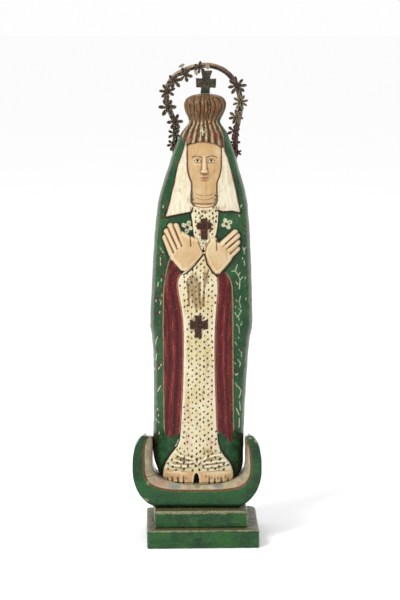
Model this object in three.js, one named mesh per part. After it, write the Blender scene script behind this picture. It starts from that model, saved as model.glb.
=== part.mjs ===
// A carved and painted wooden madonna on a crescent moon and a stepped plinth, with a hoop of tin flowers.
// Millimetres, +Z up. The figure faces -Y. The origin is the middle of the plinth's underside.
import * as THREE from 'three';

// Driving dimensions
const CONTACT_GAP = 0.35;
const BASE_HEIGHT = 28;
const STEP_HEIGHT = 26;
const STEP_FRONT = -63;
const STEP_BACK = 58;
const MOON_FRONT = -48;
const MOON_BACK = 32;
const MOON_TOP = 165;
const FIGURE_BOTTOM = 89;
const DOME_TOP = 671;
const FRONT_COLUMNS = 38;
const BACK_COLUMNS = 12;
const MIDDLE_DENSITY = 0.05;
const ARC_SAMPLES = 240;

const STEP_BOTTOM_Z = BASE_HEIGHT + CONTACT_GAP;
const STEP_TOP_Z = STEP_BOTTOM_Z + STEP_HEIGHT;
const MOON_BOTTOM = STEP_TOP_Z + CONTACT_GAP;

const materials = {
  green: new THREE.MeshStandardMaterial({ color: 0x2c4f2b, roughness: 0.6, metalness: 0 }),
  figure: new THREE.MeshStandardMaterial({ color: 0x45593a, roughness: 0.55, metalness: 0 }),
  moon: new THREE.MeshStandardMaterial({ color: 0x36552f, roughness: 0.6, metalness: 0 }),
  darkWood: new THREE.MeshStandardMaterial({ color: 0x3a3a2c, roughness: 0.7, metalness: 0 }),
  rustyRod: new THREE.MeshStandardMaterial({ color: 0x4b372a, roughness: 0.6, metalness: 0.6 }),
  tin: new THREE.MeshStandardMaterial({ color: 0x3c3029, roughness: 0.55, metalness: 0.7 }),
  paleTin: new THREE.MeshStandardMaterial({ color: 0x8d7f68, roughness: 0.6, metalness: 0.5 }),
};

const group = new THREE.Group();

function addMesh(name, geometry, material) {
  const mesh = new THREE.Mesh(geometry, material);
  mesh.name = name;
  group.add(mesh);
  return mesh;
}

function clamp01(value) {
  return Math.min(1, Math.max(0, value));
}

function smoothstep(low, high, value) {
  const t = clamp01((value - low) / (high - low));
  return t * t * (3 - 2 * t);
}

// A smooth function through [key, value] pairs with rising keys.
function curveThrough(pairs) {
  const keys = pairs.map((pair) => pair[0]);
  const values = pairs.map((pair) => pair[1]);
  const last = keys.length - 1;
  const slopes = keys.map((key, i) => {
    const before = Math.max(0, i - 1);
    const after = Math.min(last, i + 1);
    return (values[after] - values[before]) / (keys[after] - keys[before]);
  });
  return (key) => {
    if (key <= keys[0]) return values[0];
    if (key >= keys[last]) return values[last];
    let i = 0;
    while (key > keys[i + 1]) i += 1;
    const span = keys[i + 1] - keys[i];
    const t = (key - keys[i]) / span;
    const t2 = t * t;
    const t3 = t2 * t;
    return (
      (2 * t3 - 3 * t2 + 1) * values[i] +
      (t3 - 2 * t2 + t) * span * slopes[i] +
      (3 * t2 - 2 * t3) * values[i + 1] +
      (t3 - t2) * span * slopes[i + 1]
    );
  };
}

// Distance from (x, z) to a closed outline, negative inside.
function outlineDistance(outline, x, z) {
  let nearest = Infinity;
  let inside = false;
  outline.forEach(([ax, az], i) => {
    const [bx, bz] = outline[(i + 1) % outline.length];
    const ex = bx - ax;
    const ez = bz - az;
    const along = clamp01(((x - ax) * ex + (z - az) * ez) / (ex * ex + ez * ez));
    nearest = Math.min(nearest, Math.hypot(x - ax - ex * along, z - az - ez * along));
    const crosses = az > z !== bz > z && x < ax + ((z - az) / (bz - az)) * (bx - ax);
    if (crosses) inside = !inside;
  });
  return inside ? -nearest : nearest;
}

// Distance from (x, z) to a straight stretch.
function stretchDistance([ax, az], [bx, bz], x, z) {
  const ex = bx - ax;
  const ez = bz - az;
  const along = clamp01(((x - ax) * ex + (z - az) * ez) / (ex * ex + ez * ez));
  return Math.hypot(x - ax - ex * along, z - az - ez * along);
}

// 1 inside an outline, falling to 0 across the edge's softness.
function plateau(outline, softness, x, z) {
  return 1 - smoothstep(-softness, softness, outlineDistance(outline, x, z));
}

// A rounded bump along a stretch.
function roundedBar(from, to, radius, x, z) {
  const share = stretchDistance(from, to, x, z) / radius;
  return share < 1 ? Math.sqrt(1 - share * share) : 0;
}

// A mesh from rings of points, each ring running the same way round, closed by a middle point at each end.
function ringSurface(rings, firstMiddle, lastMiddle) {
  const count = rings[0].length;
  const points = rings.flat();
  const faces = [];
  for (let r = 0; r + 1 < rings.length; r += 1) {
    for (let c = 0; c < count; c += 1) {
      const a = r * count + c;
      const b = r * count + ((c + 1) % count);
      faces.push(a, b, a + count, b, b + count, a + count);
    }
  }
  const first = points.length;
  points.push(firstMiddle);
  const final = points.length;
  points.push(lastMiddle);
  const top = (rings.length - 1) * count;
  for (let c = 0; c < count; c += 1) {
    const next = (c + 1) % count;
    faces.push(first, next, c);
    faces.push(final, top + c, top + next);
  }
  const geometry = new THREE.BufferGeometry();
  const flat = points.flatMap((p) => [p.x, p.y, p.z]);
  geometry.setAttribute('position', new THREE.Float32BufferAttribute(flat, 3));
  geometry.setIndex(faces);
  geometry.computeVertexNormals();
  return geometry;
}

// Plinth: two hand-cut blocks, turned a little against the figure.
const BASE_PLAN = [[-81.5, -79], [85.5, -72.5], [83, 70], [72.5, 79], [-86, 68]];
const STEP_HALF_WIDTH = 69.8;
const STEP_CENTRE_X = -3.4;
const PLINTH_TURN = THREE.MathUtils.degToRad(2);
const BLOCK_BEVEL = 1.2;

function bevelledBlock(plan, height, bottomZ) {
  const shape = new THREE.Shape(plan.map(([x, y]) => new THREE.Vector2(x, y)));
  const geometry = new THREE.ExtrudeGeometry(shape, {
    depth: height - 2 * BLOCK_BEVEL,
    bevelEnabled: true,
    bevelThickness: BLOCK_BEVEL,
    bevelSize: BLOCK_BEVEL,
    bevelOffset: -BLOCK_BEVEL,
    bevelSegments: 1,
  });
  geometry.translate(0, 0, bottomZ + BLOCK_BEVEL);
  return geometry;
}

function plinthBase() {
  return bevelledBlock(BASE_PLAN, BASE_HEIGHT, 0);
}

function plinthStep() {
  const corners = [
    [-STEP_HALF_WIDTH, STEP_FRONT],
    [STEP_HALF_WIDTH, STEP_FRONT],
    [STEP_HALF_WIDTH, STEP_BACK],
    [-STEP_HALF_WIDTH, STEP_BACK],
  ];
  const plan = corners.map(([x, y]) => {
    const turned = new THREE.Vector2(x, y).rotateAround(new THREE.Vector2(0, 0), PLINTH_TURN);
    return [turned.x + STEP_CENTRE_X, turned.y];
  });
  return bevelledBlock(plan, STEP_HEIGHT, STEP_BOTTOM_Z);
}

// Crescent moon: a U between an outer outline and a scooped hollow.
const MOON_OUTER = { x: -7.4, z: 118, halfWidth: 96.8, halfHeight: 76, power: 2.4 };
const RIM = { x: -7, z: 125, halfWidth: 81.3, halfHeight: 44.8, power: 3.7 };
const HOLLOW = { x: -4.8, z: 125, halfWidth: 69.7, halfHeight: 34.5, power: 3.7 };
const SCOOP_FRONT_DEPTH = 26;
const SCOOP_BACK_DEPTH = 22;
const SCOOP_BACK_SHARE = 0.8;
const SCOOP_DEPTHS = [0, 7, 15, 26, 58, 69, 80];
const MOON_STATIONS = 26;
const ARM_STATIONS = 6;
const LEFT_ARM = { lean: 8, power: 4 };
const RIGHT_ARM = { lean: 10.4, power: 2.3 };
const TIP_DROP = 3;
const BACK_DROP = 12;
const BACK_INSET = 4;
const MOON_UNDERCUT = 3;
const MOON_UNDERCUT_DEPTH = 7;

function signedPower(value, power) {
  return Math.sign(value) * Math.abs(value) ** power;
}

function ovalPoint(oval, angle) {
  const power = 2 / oval.power;
  return [
    oval.x + oval.halfWidth * signedPower(Math.cos(angle), power),
    oval.z + oval.halfHeight * signedPower(Math.sin(angle), power),
  ];
}

// How far the hollow is opened out at depth y: 0 along the middle, 1 at the front rim.
function scoop(y) {
  const front = clamp01((MOON_FRONT + SCOOP_FRONT_DEPTH - y) / SCOOP_FRONT_DEPTH);
  const back = clamp01((y - MOON_BACK + SCOOP_BACK_DEPTH) / SCOOP_BACK_DEPTH);
  return Math.max(front * front, SCOOP_BACK_SHARE * back * back);
}

function hollowAt(y) {
  const open = scoop(y);
  const oval = {};
  Object.keys(HOLLOW).forEach((key) => {
    oval[key] = THREE.MathUtils.lerp(HOLLOW[key], RIM[key], open);
  });
  return oval;
}

// The height of the hollow's floor under (x, y).
function hollowFloor(x, y) {
  const oval = hollowAt(y);
  const share = Math.min(0.995, Math.abs(x - oval.x) / oval.halfWidth);
  return oval.z - oval.halfHeight * (1 - share ** oval.power) ** (1 / oval.power);
}

// Half the width of an oval at height z.
function ovalHalfWidth(oval, z) {
  const share = Math.min(1, Math.abs(z - oval.z) / oval.halfHeight);
  return oval.halfWidth * (1 - share ** oval.power) ** (1 / oval.power);
}

// The rim above the hollow's widest height leans in towards the arm's tip.
function armHalfWidth(side, oval, z) {
  const { lean, power } = side < 0 ? LEFT_ARM : RIGHT_ARM;
  return oval.halfWidth - lean * scoopShare(oval) * ((z - oval.z) / (MOON_TOP - oval.z)) ** power;
}

function scoopShare(oval) {
  return (oval.halfWidth - HOLLOW.halfWidth) / (RIM.halfWidth - HOLLOW.halfWidth);
}

// One section across the crescent, from the back of its outside round to the back of its hollow.
// side is -1 on the left arm, 1 on the right arm and 0 along the bottom.
function moonRing(side, position) {
  let outerX;
  let rawZ;
  if (side === 0) [outerX, rawZ] = ovalPoint(MOON_OUTER, position);
  else {
    rawZ = THREE.MathUtils.lerp(MOON_OUTER.z, MOON_TOP, position);
    outerX = MOON_OUTER.x + side * ovalHalfWidth(MOON_OUTER, rawZ);
  }
  const outerZ = Math.max(rawZ, MOON_BOTTOM);
  const lift = MOON_UNDERCUT * (1 - smoothstep(MOON_BOTTOM, MOON_BOTTOM + 8, rawZ));
  const taper = side === 0 ? 0 : position * position;
  const depthShare = (y) => (y - MOON_FRONT) / (MOON_BACK - MOON_FRONT);
  const outer = (y, raised) => {
    const back = taper * depthShare(y);
    return new THREE.Vector3(outerX - side * BACK_INSET * back, y, outerZ + raised - BACK_DROP * back);
  };
  const ring = [outer(MOON_BACK, 0), outer(MOON_FRONT + MOON_UNDERCUT_DEPTH, 0), outer(MOON_FRONT, lift)];
  SCOOP_DEPTHS.forEach((depth) => {
    const y = MOON_FRONT + depth;
    const oval = hollowAt(y);
    if (side === 0) {
      const [x, z] = ovalPoint(oval, position);
      ring.push(new THREE.Vector3(x, y, z));
    } else {
      const top = MOON_TOP - TIP_DROP - BACK_DROP * depthShare(y);
      const z = THREE.MathUtils.lerp(oval.z, top, position);
      ring.push(new THREE.Vector3(oval.x + side * armHalfWidth(side, oval, z), y, z));
    }
  });
  return ring.reverse();
}

function crescentMoon() {
  const rings = [];
  for (let i = ARM_STATIONS; i > 0; i -= 1) rings.push(moonRing(-1, i / ARM_STATIONS));
  for (let i = 0; i <= MOON_STATIONS; i += 1) rings.push(moonRing(0, Math.PI * (1 + i / MOON_STATIONS)));
  for (let i = 1; i <= ARM_STATIONS; i += 1) rings.push(moonRing(1, i / ARM_STATIONS));
  const middleOf = (ring) => {
    const sum = new THREE.Vector3();
    ring.forEach((point) => sum.add(point));
    return sum.divideScalar(ring.length);
  };
  return ringSurface(rings, middleOf(rings[0]), middleOf(rings[rings.length - 1]));
}

// Figure: half-width, front depth and back depth over height, with the axis leaning to +X.
const FIGURE_LEAN = 0.0205;
const FIGURE_AXIS_X = -6.2;
const FOOT_SHIFT = 3.5;
const AXIS_Y = 2;
const halfWidthAt = curveThrough([
  [89, 49], [93, 55.5], [98, 60.5], [104, 63.5], [117, 67], [135, 68.5], [185, 68.6], [234, 69.7],
  [283, 71.5], [308, 73.8], [326, 76.7], [368, 75.6], [417, 73.6], [465, 70.8], [501, 67.6], [525, 63.6],
  [549, 56.5], [565, 51.4], [579, 47.6], [593, 42.6], [604, 38.2], [614, 33.8], [622, 28], [629, 23.4],
  [634, 24.2], [640, 27], [648, 30.2], [655, 31.3], [661, 29.6], [666, 25.4], [669.5, 17], [DOME_TOP, 9],
]);
const frontDepthAt = curveThrough([
  [89, 32], [100, 35], [117, 37.5], [160, 38], [234, 39], [326, 40], [440, 40], [501, 38], [549, 37],
  [579, 36.5], [604, 34], [614, 30], [622, 25], [629, 20.5], [634, 21.5], [640, 24.5], [648, 27.5],
  [655, 28.5], [661, 27], [666, 23], [669.5, 15], [DOME_TOP, 8],
]);
const backDepthAt = curveThrough([
  [89, 24], [93, 29], [98, 33], [104, 36], [117, 39], [160, 41], [326, 44], [440, 43], [501, 41], [549, 38],
  [579, 34], [604, 29], [614, 26], [622, 23], [629, 20.5], [634, 21.5], [640, 24.5], [648, 27.5],
  [655, 28.5], [661, 27], [666, 23], [669.5, 15], [DOME_TOP, 8],
]);
const squarenessAt = curveThrough([[89, 2.5], [560, 2.5], [600, 2.2], [625, 2], [DOME_TOP, 2]]);

function axisX(z) {
  const foot = FOOT_SHIFT * (1 - smoothstep(100, 140, z));
  return FIGURE_AXIS_X + FIGURE_LEAN * (z - 117) + 0.9 * Math.sin((z - 160) / 82) + foot;
}

// Outlines on the front, as [x, z] pairs.
// The veils reach in under the face's opening, which cuts them off.
const VEIL_LEFT = [[-23.5, 601], [-34.4, 568], [-53.6, 491], [-16.7, 499.5], [-12, 512], [-12, 601]];
const VEIL_RIGHT = [[31, 598], [42.4, 560], [56.8, 497.5], [24.4, 501.5], [19, 512], [19, 598]];
const ROBE = [
  [-17, 512], [-16.5, 500], [-13, 470], [2, 440], [-30, 408], [-36, 384], [-27, 309], [-31.5, 172], [-34, 150],
  [-46, 135], [-56, 118], [-59, 103], [-58, 86], [46, 86], [47, 103], [44, 118], [33, 132], [25, 145],
  [22, 172], [18.5, 316], [23.5, 384], [22, 408], [3, 440], [22, 470], [24.5, 500], [25, 512],
];
const RED_LEFT = [[-44.5, 434], [-55, 384], [-56, 309], [-54.8, 157], [-34.5, 165], [-27, 309], [-36, 384], [-34, 415]];
const RED_RIGHT = [[24, 411], [34, 408], [43, 384], [44, 316], [46.5, 152], [23, 168], [18.5, 316], [23.5, 384]];
const LOWER_LEFT = [[-66, 168], [-34, 165], [-36, 150], [-57, 118], [-60, 95], [-66, 116]];
const LOWER_RIGHT = [[56, 168], [24, 168], [25, 145], [44, 118], [47, 95], [56, 116]];
const CROWN_BAND = [[-33, 606], [-24, 596], [0, 602.5], [31, 593.5], [37, 606], [27, 632], [-20, 632]];
const CHEST_CROSS = [
  [-1.5, 489.5], [7.8, 489.5], [7.8, 483], [13.1, 483], [13.1, 474.5], [7.8, 474.5], [7.8, 459.5],
  [-1.5, 459.5], [-1.5, 474.5], [-7.1, 474.5], [-7.1, 483], [-1.5, 483],
];
const BELLY_CROSS = [
  [-11, 345.5], [-0.4, 345.5], [-1.8, 337.5], [8.4, 338.5], [8.4, 325.5], [-1.8, 326.5], [-0.6, 312.8],
  [-10.6, 312.8], [-9.4, 326.5], [-17.1, 325.5], [-17.1, 338.5], [-9.4, 337.5],
];

// Hands: fingers and thumb are bars, the back of the hand and the wrist are outlines.
const HAND_LEFT = {
  fingers: [
    [[-38.6, 477.6], [-25, 446]], [[-46.6, 477.4], [-31.5, 443]],
    [[-51.8, 469.4], [-37.5, 438]], [[-54, 460.2], [-42.5, 431]],
  ],
  thumb: [[-10, 456.5], [-13, 440]],
  palm: [
    [-32, 472], [-24, 467.5], [-17.5, 463.5], [-11.5, 462], [-6, 455], [-2, 447], [2.5, 437], [-12, 421],
    [-26.5, 407.5], [-44, 427], [-49, 437], [-40, 443],
  ],
};
const HAND_RIGHT = {
  fingers: [
    [[48.8, 468], [27, 449]], [[51.6, 462.6], [32, 445]],
    [[51.6, 453.4], [35.5, 438.5]], [[51.4, 443.8], [38, 431.5]],
  ],
  thumb: [[16.5, 457], [12.5, 442]],
  palm: [
    [20.5, 456], [28, 452], [36, 446], [44, 437], [45, 430], [36, 419], [22.5, 404], [11.5, 418], [4, 437],
    [5.5, 447], [10, 455], [17.9, 461.5],
  ],
};
const FINGER_RADIUS = 4.7;
const THUMB_RADIUS = 5.6;
const PALM_SOFTNESS = 3;
const HAND_HEIGHT = 6.5;

function handRelief(hand, x, z) {
  let height = HAND_HEIGHT * plateau(hand.palm, PALM_SOFTNESS, x, z);
  hand.fingers.forEach(([tip, root]) => {
    height = Math.max(height, HAND_HEIGHT * roundedBar(tip, root, FINGER_RADIUS, x, z));
  });
  return Math.max(height, HAND_HEIGHT * roundedBar(hand.thumb[0], hand.thumb[1], THUMB_RADIUS, x, z));
}

// Face: a plain oval of four to three on even thirds, under the crown band.
const FACE_WIDTH = 51;
const FACE = { x: 3.4, top: 602, chin: 602 - (FACE_WIDTH * 4) / 3, halfWidth: FACE_WIDTH / 2, height: 12 };
const NOSE = { topHalf: 2.6, widening: 3.2, topHeight: 1.2, rise: 5.5 };
const EYE = { apart: FACE_WIDTH / 5, drop: 5, socket: [6.5, 5, 2.4], lid: [4.6, 2.6, 1.4] };
const MOUTH = [7, 3.4, 1.5];
const CHIN = [7, 6, 1.6];
const NECK = { halfWidth: 19, height: 5.2 };
const FACE_MIDDLE_Z = (FACE.top + FACE.chin) / 2;
const FACE_OVAL_HALF_HEIGHT = (FACE.top - FACE.chin) * 0.56;

// The opening between the veils: as wide as the face, then down its oval to the width of the neck.
const OPENING = { top: 606, bottom: 512, steps: 12 };

function openingOutline() {
  const right = [];
  for (let i = 0; i <= OPENING.steps; i += 1) {
    const z = THREE.MathUtils.lerp(OPENING.top, OPENING.bottom, i / OPENING.steps);
    const drop = clamp01((FACE_MIDDLE_Z - z) / FACE_OVAL_HALF_HEIGHT);
    const halfWidth = Math.max(NECK.halfWidth, FACE.halfWidth * Math.sqrt(1 - drop * drop));
    right.push([FACE.x + halfWidth, z]);
  }
  const left = right.map(([x, z]) => [2 * FACE.x - x, z]).reverse();
  return [...right, ...left];
}

const FACE_OPENING = openingOutline();

function ellipseBump(centreX, centreZ, radiusX, radiusZ, x, z) {
  const share = ((x - centreX) / radiusX) ** 2 + ((z - centreZ) / radiusZ) ** 2;
  return share < 1 ? Math.sqrt(1 - share) : 0;
}

function faceRelief(x, z) {
  const span = FACE.top - FACE.chin;
  const browZ = FACE.top - span / 3;
  const noseZ = FACE.top - (2 * span) / 3;
  const mouthZ = noseZ - span / 9;
  const bump = (centreX, centreZ, [radiusX, radiusZ, rise]) =>
    rise * ellipseBump(centreX, centreZ, radiusX, radiusZ, x, z);
  let height = bump(FACE.x, FACE_MIDDLE_Z, [FACE.halfWidth, FACE_OVAL_HALF_HEIGHT, FACE.height]);
  const bridge = clamp01((browZ - z) / (browZ - noseZ));
  const noseHalf = NOSE.topHalf + NOSE.widening * bridge;
  const across = clamp01(1 - Math.abs(x - FACE.x) / noseHalf);
  if (z > noseZ && z < browZ) height += (NOSE.topHeight + NOSE.rise * bridge) * Math.sqrt(across);
  [-1, 1].forEach((side) => {
    const eyeX = FACE.x + side * EYE.apart;
    height += bump(eyeX, browZ - EYE.drop, EYE.lid) - bump(eyeX, browZ - EYE.drop, EYE.socket);
  });
  return height + bump(FACE.x, mouthZ, MOUTH) + bump(FACE.x, FACE.chin + CHIN[1], CHIN);
}

// Crown: lobes round the dome, and upright flutes round the band.
const DOME_LOBES = 12;
const LOBE_DEPTH = 2.2;
const LOBE_ROUNDNESS = 0.7;

function lobeDepthAt(z) {
  return LOBE_DEPTH * smoothstep(629, 640, z) * (1 - smoothstep(664, 671, z));
}

// Feet: five toes on each foot under the hem.
const TOES = 5;
const TOE_HEIGHT = 5;
const TOE_OVERLAP = 0.52;
const INSTEP = 12;
const HEM_OVERHANG = 2;
const FEET = [{ from: -58.5, to: -13 }, { from: -4, to: 47 }];
const TOE_TOP = 115;

function feetRelief(x, z) {
  let height = 0;
  FEET.forEach(({ from, to }) => {
    const width = (to - from) / TOES;
    for (let i = 0; i < TOES; i += 1) {
      const centre = from + (i + 0.5) * width;
      const across = clamp01(1 - ((x - centre) / (TOE_OVERLAP * width)) ** 2);
      const below = 1 - smoothstep(TOE_TOP - INSTEP, TOE_TOP, z);
      height = Math.max(height, TOE_HEIGHT * Math.sqrt(across) * below);
    }
  });
  return height;
}

// Red panels: upright flutes cut with a gouge.
const FLUTE_DEPTH = 2.2;

function fluteRelief(x, edge, spacing) {
  return -FLUTE_DEPTH * Math.abs(Math.sin((Math.PI * (x - edge)) / spacing));
}

// Robe: raised between the panels, flaring at the hem, with two rows of folds rising to both sides.
const ROBE_HEIGHT = 3;
const HEM_FLARE = 2.2;
const HEM_FOLD_HEIGHT = 1.4;
const HEM_FOLD_WIDTH = 3;
const HEM_FOLDS = [{ x: -9, z: 118, rise: 0.16, reach: 30 }, { x: -9, z: 124, rise: 0.2, reach: 30 }];
const FEET_NOTCH = { x: -8.3, z: 90, radiusX: 4.6, radiusZ: 17, depth: 9 };

function robeRelief(x, z) {
  const body = plateau(ROBE, CARVED_EDGE, x, z);
  const hem = HEM_FLARE * (1 - smoothstep(118, 150, z));
  let ridges = 0;
  HEM_FOLDS.forEach((fold) => {
    const line = fold.z + fold.rise * Math.min(fold.reach, Math.abs(x - fold.x));
    const near = 1 - smoothstep(0, HEM_FOLD_WIDTH, Math.abs(z - line));
    ridges = Math.max(ridges, HEM_FOLD_HEIGHT * near);
  });
  const { x: notchX, z: notchZ, radiusX, radiusZ, depth } = FEET_NOTCH;
  const notch = depth * ellipseBump(notchX, notchZ, radiusX, radiusZ, x, z);
  return body * (ROBE_HEIGHT + hem + ridges) - notch;
}

const PANEL_DEPTH = 2.6;
const LOWER_PANEL_DEPTH = 4.5;
const VEIL_HEIGHT = 2.6;
const FACE_HOLLOW_DEPTH = 9.5;
const BAND_HEIGHT = 3.2;
const DRESS_CROSS_HEIGHT = 1.6;
const KNOB = { x: 1.4, z: 453, radius: 4.2, height: 2.5 };
const CARVED_EDGE = 1.2;
const SOFT_EDGE = 2.2;

function panelRelief(outline, deepX, shallowX, fluteEdge, fluteSpacing, x, z) {
  const inside = plateau(outline, CARVED_EDGE, x, z);
  const depth = PANEL_DEPTH * (1 - 0.5 * smoothstep(deepX, shallowX, x));
  return inside * (fluteRelief(x, fluteEdge, fluteSpacing) - depth);
}

function headRelief(x, z) {
  const veils = Math.max(plateau(VEIL_LEFT, CARVED_EDGE, x, z), plateau(VEIL_RIGHT, CARVED_EDGE, x, z));
  const hollow = plateau(FACE_OPENING, SOFT_EDGE, x, z);
  const band = BAND_HEIGHT * plateau(CROWN_BAND, CARVED_EDGE, x, z) * (1 - smoothstep(606, 630, z));
  const neck = NECK.height * Math.sqrt(clamp01(1 - ((x - FACE.x) / NECK.halfWidth) ** 2));
  const front = Math.max(neck, faceRelief(x, z) * smoothstep(FACE.chin - 3, FACE.chin + 3, z));
  const face = hollow * (front - FACE_HOLLOW_DEPTH) * smoothstep(508, 518, z);
  return VEIL_HEIGHT * veils * (1 - hollow) + face + band;
}

function dressCrosses(x, z) {
  const chest = plateau(CHEST_CROSS, CARVED_EDGE / 2, x, z);
  const belly = plateau(BELLY_CROSS, CARVED_EDGE / 2, x, z);
  return DRESS_CROSS_HEIGHT * (chest + belly);
}

// Height of the carving above the plain front surface at (x, z).
function frontRelief(x, z) {
  let height = panelRelief(RED_LEFT, -40, -28, -54, 8.6, x, z);
  height += panelRelief(RED_RIGHT, 30, 19, 44, 8.2, x, z);
  height -= LOWER_PANEL_DEPTH * plateau(LOWER_LEFT, SOFT_EDGE, x, z);
  height -= LOWER_PANEL_DEPTH * plateau(LOWER_RIGHT, SOFT_EDGE, x, z);
  height += robeRelief(x, z) + headRelief(x, z) + dressCrosses(x, z);
  height = Math.max(height, handRelief(HAND_LEFT, x, z), handRelief(HAND_RIGHT, x, z));
  height += KNOB.height * ellipseBump(KNOB.x, KNOB.z, KNOB.radius, KNOB.radius, x, z);
  const overhang = z < TOE_TOP ? HEM_OVERHANG * plateau(ROBE, CARVED_EDGE, x, z) : 0;
  return Math.max(height, feetRelief(x, z) + overhang);
}

// Half of a rounded outline, sampled along its length and a little closer together in the middle.
function evenSection(halfWidth, depth, power, columns, density) {
  const samples = [];
  for (let i = 0; i <= ARC_SAMPLES; i += 1) {
    const angle = (Math.PI * i) / ARC_SAMPLES;
    samples.push([
      -halfWidth * signedPower(Math.cos(angle), 2 / power),
      depth * Math.abs(Math.sin(angle)) ** (2 / power),
    ]);
  }
  const lengths = [0];
  for (let i = 1; i < samples.length; i += 1) {
    const step = Math.hypot(samples[i][0] - samples[i - 1][0], samples[i][1] - samples[i - 1][1]);
    lengths.push(lengths[i - 1] + step);
  }
  const total = lengths[lengths.length - 1];
  const points = [];
  let at = 0;
  for (let c = 0; c < columns; c += 1) {
    const share = c / columns;
    const wanted = total * (share + density * Math.sin(2 * Math.PI * share));
    while (lengths[at + 1] < wanted) at += 1;
    const t = (wanted - lengths[at]) / (lengths[at + 1] - lengths[at]);
    points.push([
      THREE.MathUtils.lerp(samples[at][0], samples[at + 1][0], t),
      THREE.MathUtils.lerp(samples[at][1], samples[at + 1][1], t),
    ]);
  }
  return points;
}

// The carving fades out over this share of the front depth, at each side.
const SIDE_FADE = 0.35;

function figureRing(z) {
  const halfWidth = halfWidthAt(z);
  const power = squarenessAt(z);
  const centre = axisX(z);
  const front = evenSection(halfWidth, frontDepthAt(z), power, FRONT_COLUMNS, MIDDLE_DENSITY);
  const back = evenSection(halfWidth, backDepthAt(z), power, BACK_COLUMNS, 0);
  const lobe = lobeDepthAt(z);
  const pushed = (x, y) => {
    const angle = Math.atan2(y, x);
    const groove = 1 - Math.abs(Math.cos((DOME_LOBES / 2) * angle)) ** LOBE_ROUNDNESS;
    const scale = 1 - (lobe * groove) / halfWidth;
    return [x * scale, y * scale];
  };
  const ring = front.map(([x, depth]) => {
    const fade = smoothstep(0, SIDE_FADE, depth / frontDepthAt(z));
    const relief = fade * frontRelief(centre + x, z);
    const [px, py] = pushed(x, -depth - relief);
    return new THREE.Vector3(centre + px, AXIS_Y + py, z);
  });
  back.forEach(([x, depth]) => {
    const [px, py] = pushed(-x, depth);
    ring.push(new THREE.Vector3(centre + px, AXIS_Y + py, z));
  });
  return ring;
}

// The figure's lower end follows the hollow of the moon.
const NEST_GAP = 0.7;
const UNDERSIDE_SHARES = [0.3, 0.6, 0.85];

function nested(point) {
  if (point.y > MOON_BACK) return point;
  const floor = hollowFloor(point.x, Math.max(point.y, MOON_FRONT)) + NEST_GAP;
  return new THREE.Vector3(point.x, point.y, Math.max(point.z, floor));
}

function figureLevels() {
  const spans = [
    [89, 121, 6], [121, 161, 4], [161, 297, 4], [297, 326, 2], [326, 405, 3], [405, 497, 15], [497, 608, 19],
    [608, 636, 5], [636, 668, 4],
  ];
  const levels = [];
  spans.forEach(([from, to, count]) => {
    for (let i = 0; i < count; i += 1) levels.push(from + ((to - from) * i) / count);
  });
  levels.push(668, DOME_TOP);
  return levels;
}

function figureGeometry() {
  const rings = figureLevels().map((z) => figureRing(z).map(nested));
  const foot = figureRing(FIGURE_BOTTOM);
  const middle = new THREE.Vector3(axisX(FIGURE_BOTTOM), AXIS_Y, FIGURE_BOTTOM);
  const underside = UNDERSIDE_SHARES.map((share) =>
    foot.map((point) => nested(middle.clone().lerp(point, share))),
  );
  const top = new THREE.Vector3(axisX(DOME_TOP), AXIS_Y, DOME_TOP);
  return ringSurface([...underside, ...rings], nested(middle), top);
}

// Crown cross: flat board with flared arms, cut by hand.
const CROSS_THICKNESS = 6;
const CROSS_Y = -1;
const CROSS_OUTLINE = [
  [-2.6, DOME_TOP + CONTACT_GAP], [11.6, DOME_TOP + CONTACT_GAP], [12, 679.6], [20.2, 679.2], [21.2, 693.6],
  [11.8, 693], [16, 705.4], [-1.6, 705.2], [0.2, 693.4], [-9.4, 694.4], [-8.8, 679.8], [-1.6, 679.8],
];

function crownCross() {
  const shape = new THREE.Shape(CROSS_OUTLINE.map(([x, z]) => new THREE.Vector2(x, z)));
  const geometry = new THREE.ExtrudeGeometry(shape, { depth: CROSS_THICKNESS, bevelEnabled: false });
  geometry.rotateX(Math.PI / 2);
  geometry.translate(0, CROSS_Y + CROSS_THICKNESS, 0);
  return geometry;
}

// Halo hoop: a rod bent to a horseshoe, its two ends lying against the back of the mantle.
const ROD_RADIUS = 4.2;
const ROD_SIDES = 8;
const ROD_STEPS = 44;
const HOOP_Y = 22;
const HOOP_POINTS = [
  [-35, 556, 39], [-39, 573, 32], [-41, 590, 26.5], [-40, 606, 23.5], [-38.5, 622, HOOP_Y],
  [-46, 640, HOOP_Y], [-52.5, 659, HOOP_Y], [-52, 678, HOOP_Y], [-43, 694, HOOP_Y], [-26, 705, HOOP_Y],
  [-5, 711, HOOP_Y], [11, 712, HOOP_Y], [30, 706, HOOP_Y], [46, 692, HOOP_Y], [55, 673, HOOP_Y],
  [57.5, 652, HOOP_Y], [54, 630, HOOP_Y], [50.5, 612, 23], [50.2, 592, 27], [48.5, 573, 32.5],
  [43, 554, 40],
];
const hoopPath = new THREE.CatmullRomCurve3(HOOP_POINTS.map(([x, z, y]) => new THREE.Vector3(x, y, z)));

function haloHoop() {
  const section = new THREE.Shape();
  section.absarc(0, 0, ROD_RADIUS, 0, 2 * Math.PI, false);
  return new THREE.ExtrudeGeometry(section, {
    steps: ROD_STEPS,
    curveSegments: ROD_SIDES / 2,
    extrudePath: hoopPath,
    bevelEnabled: false,
  });
}

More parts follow.
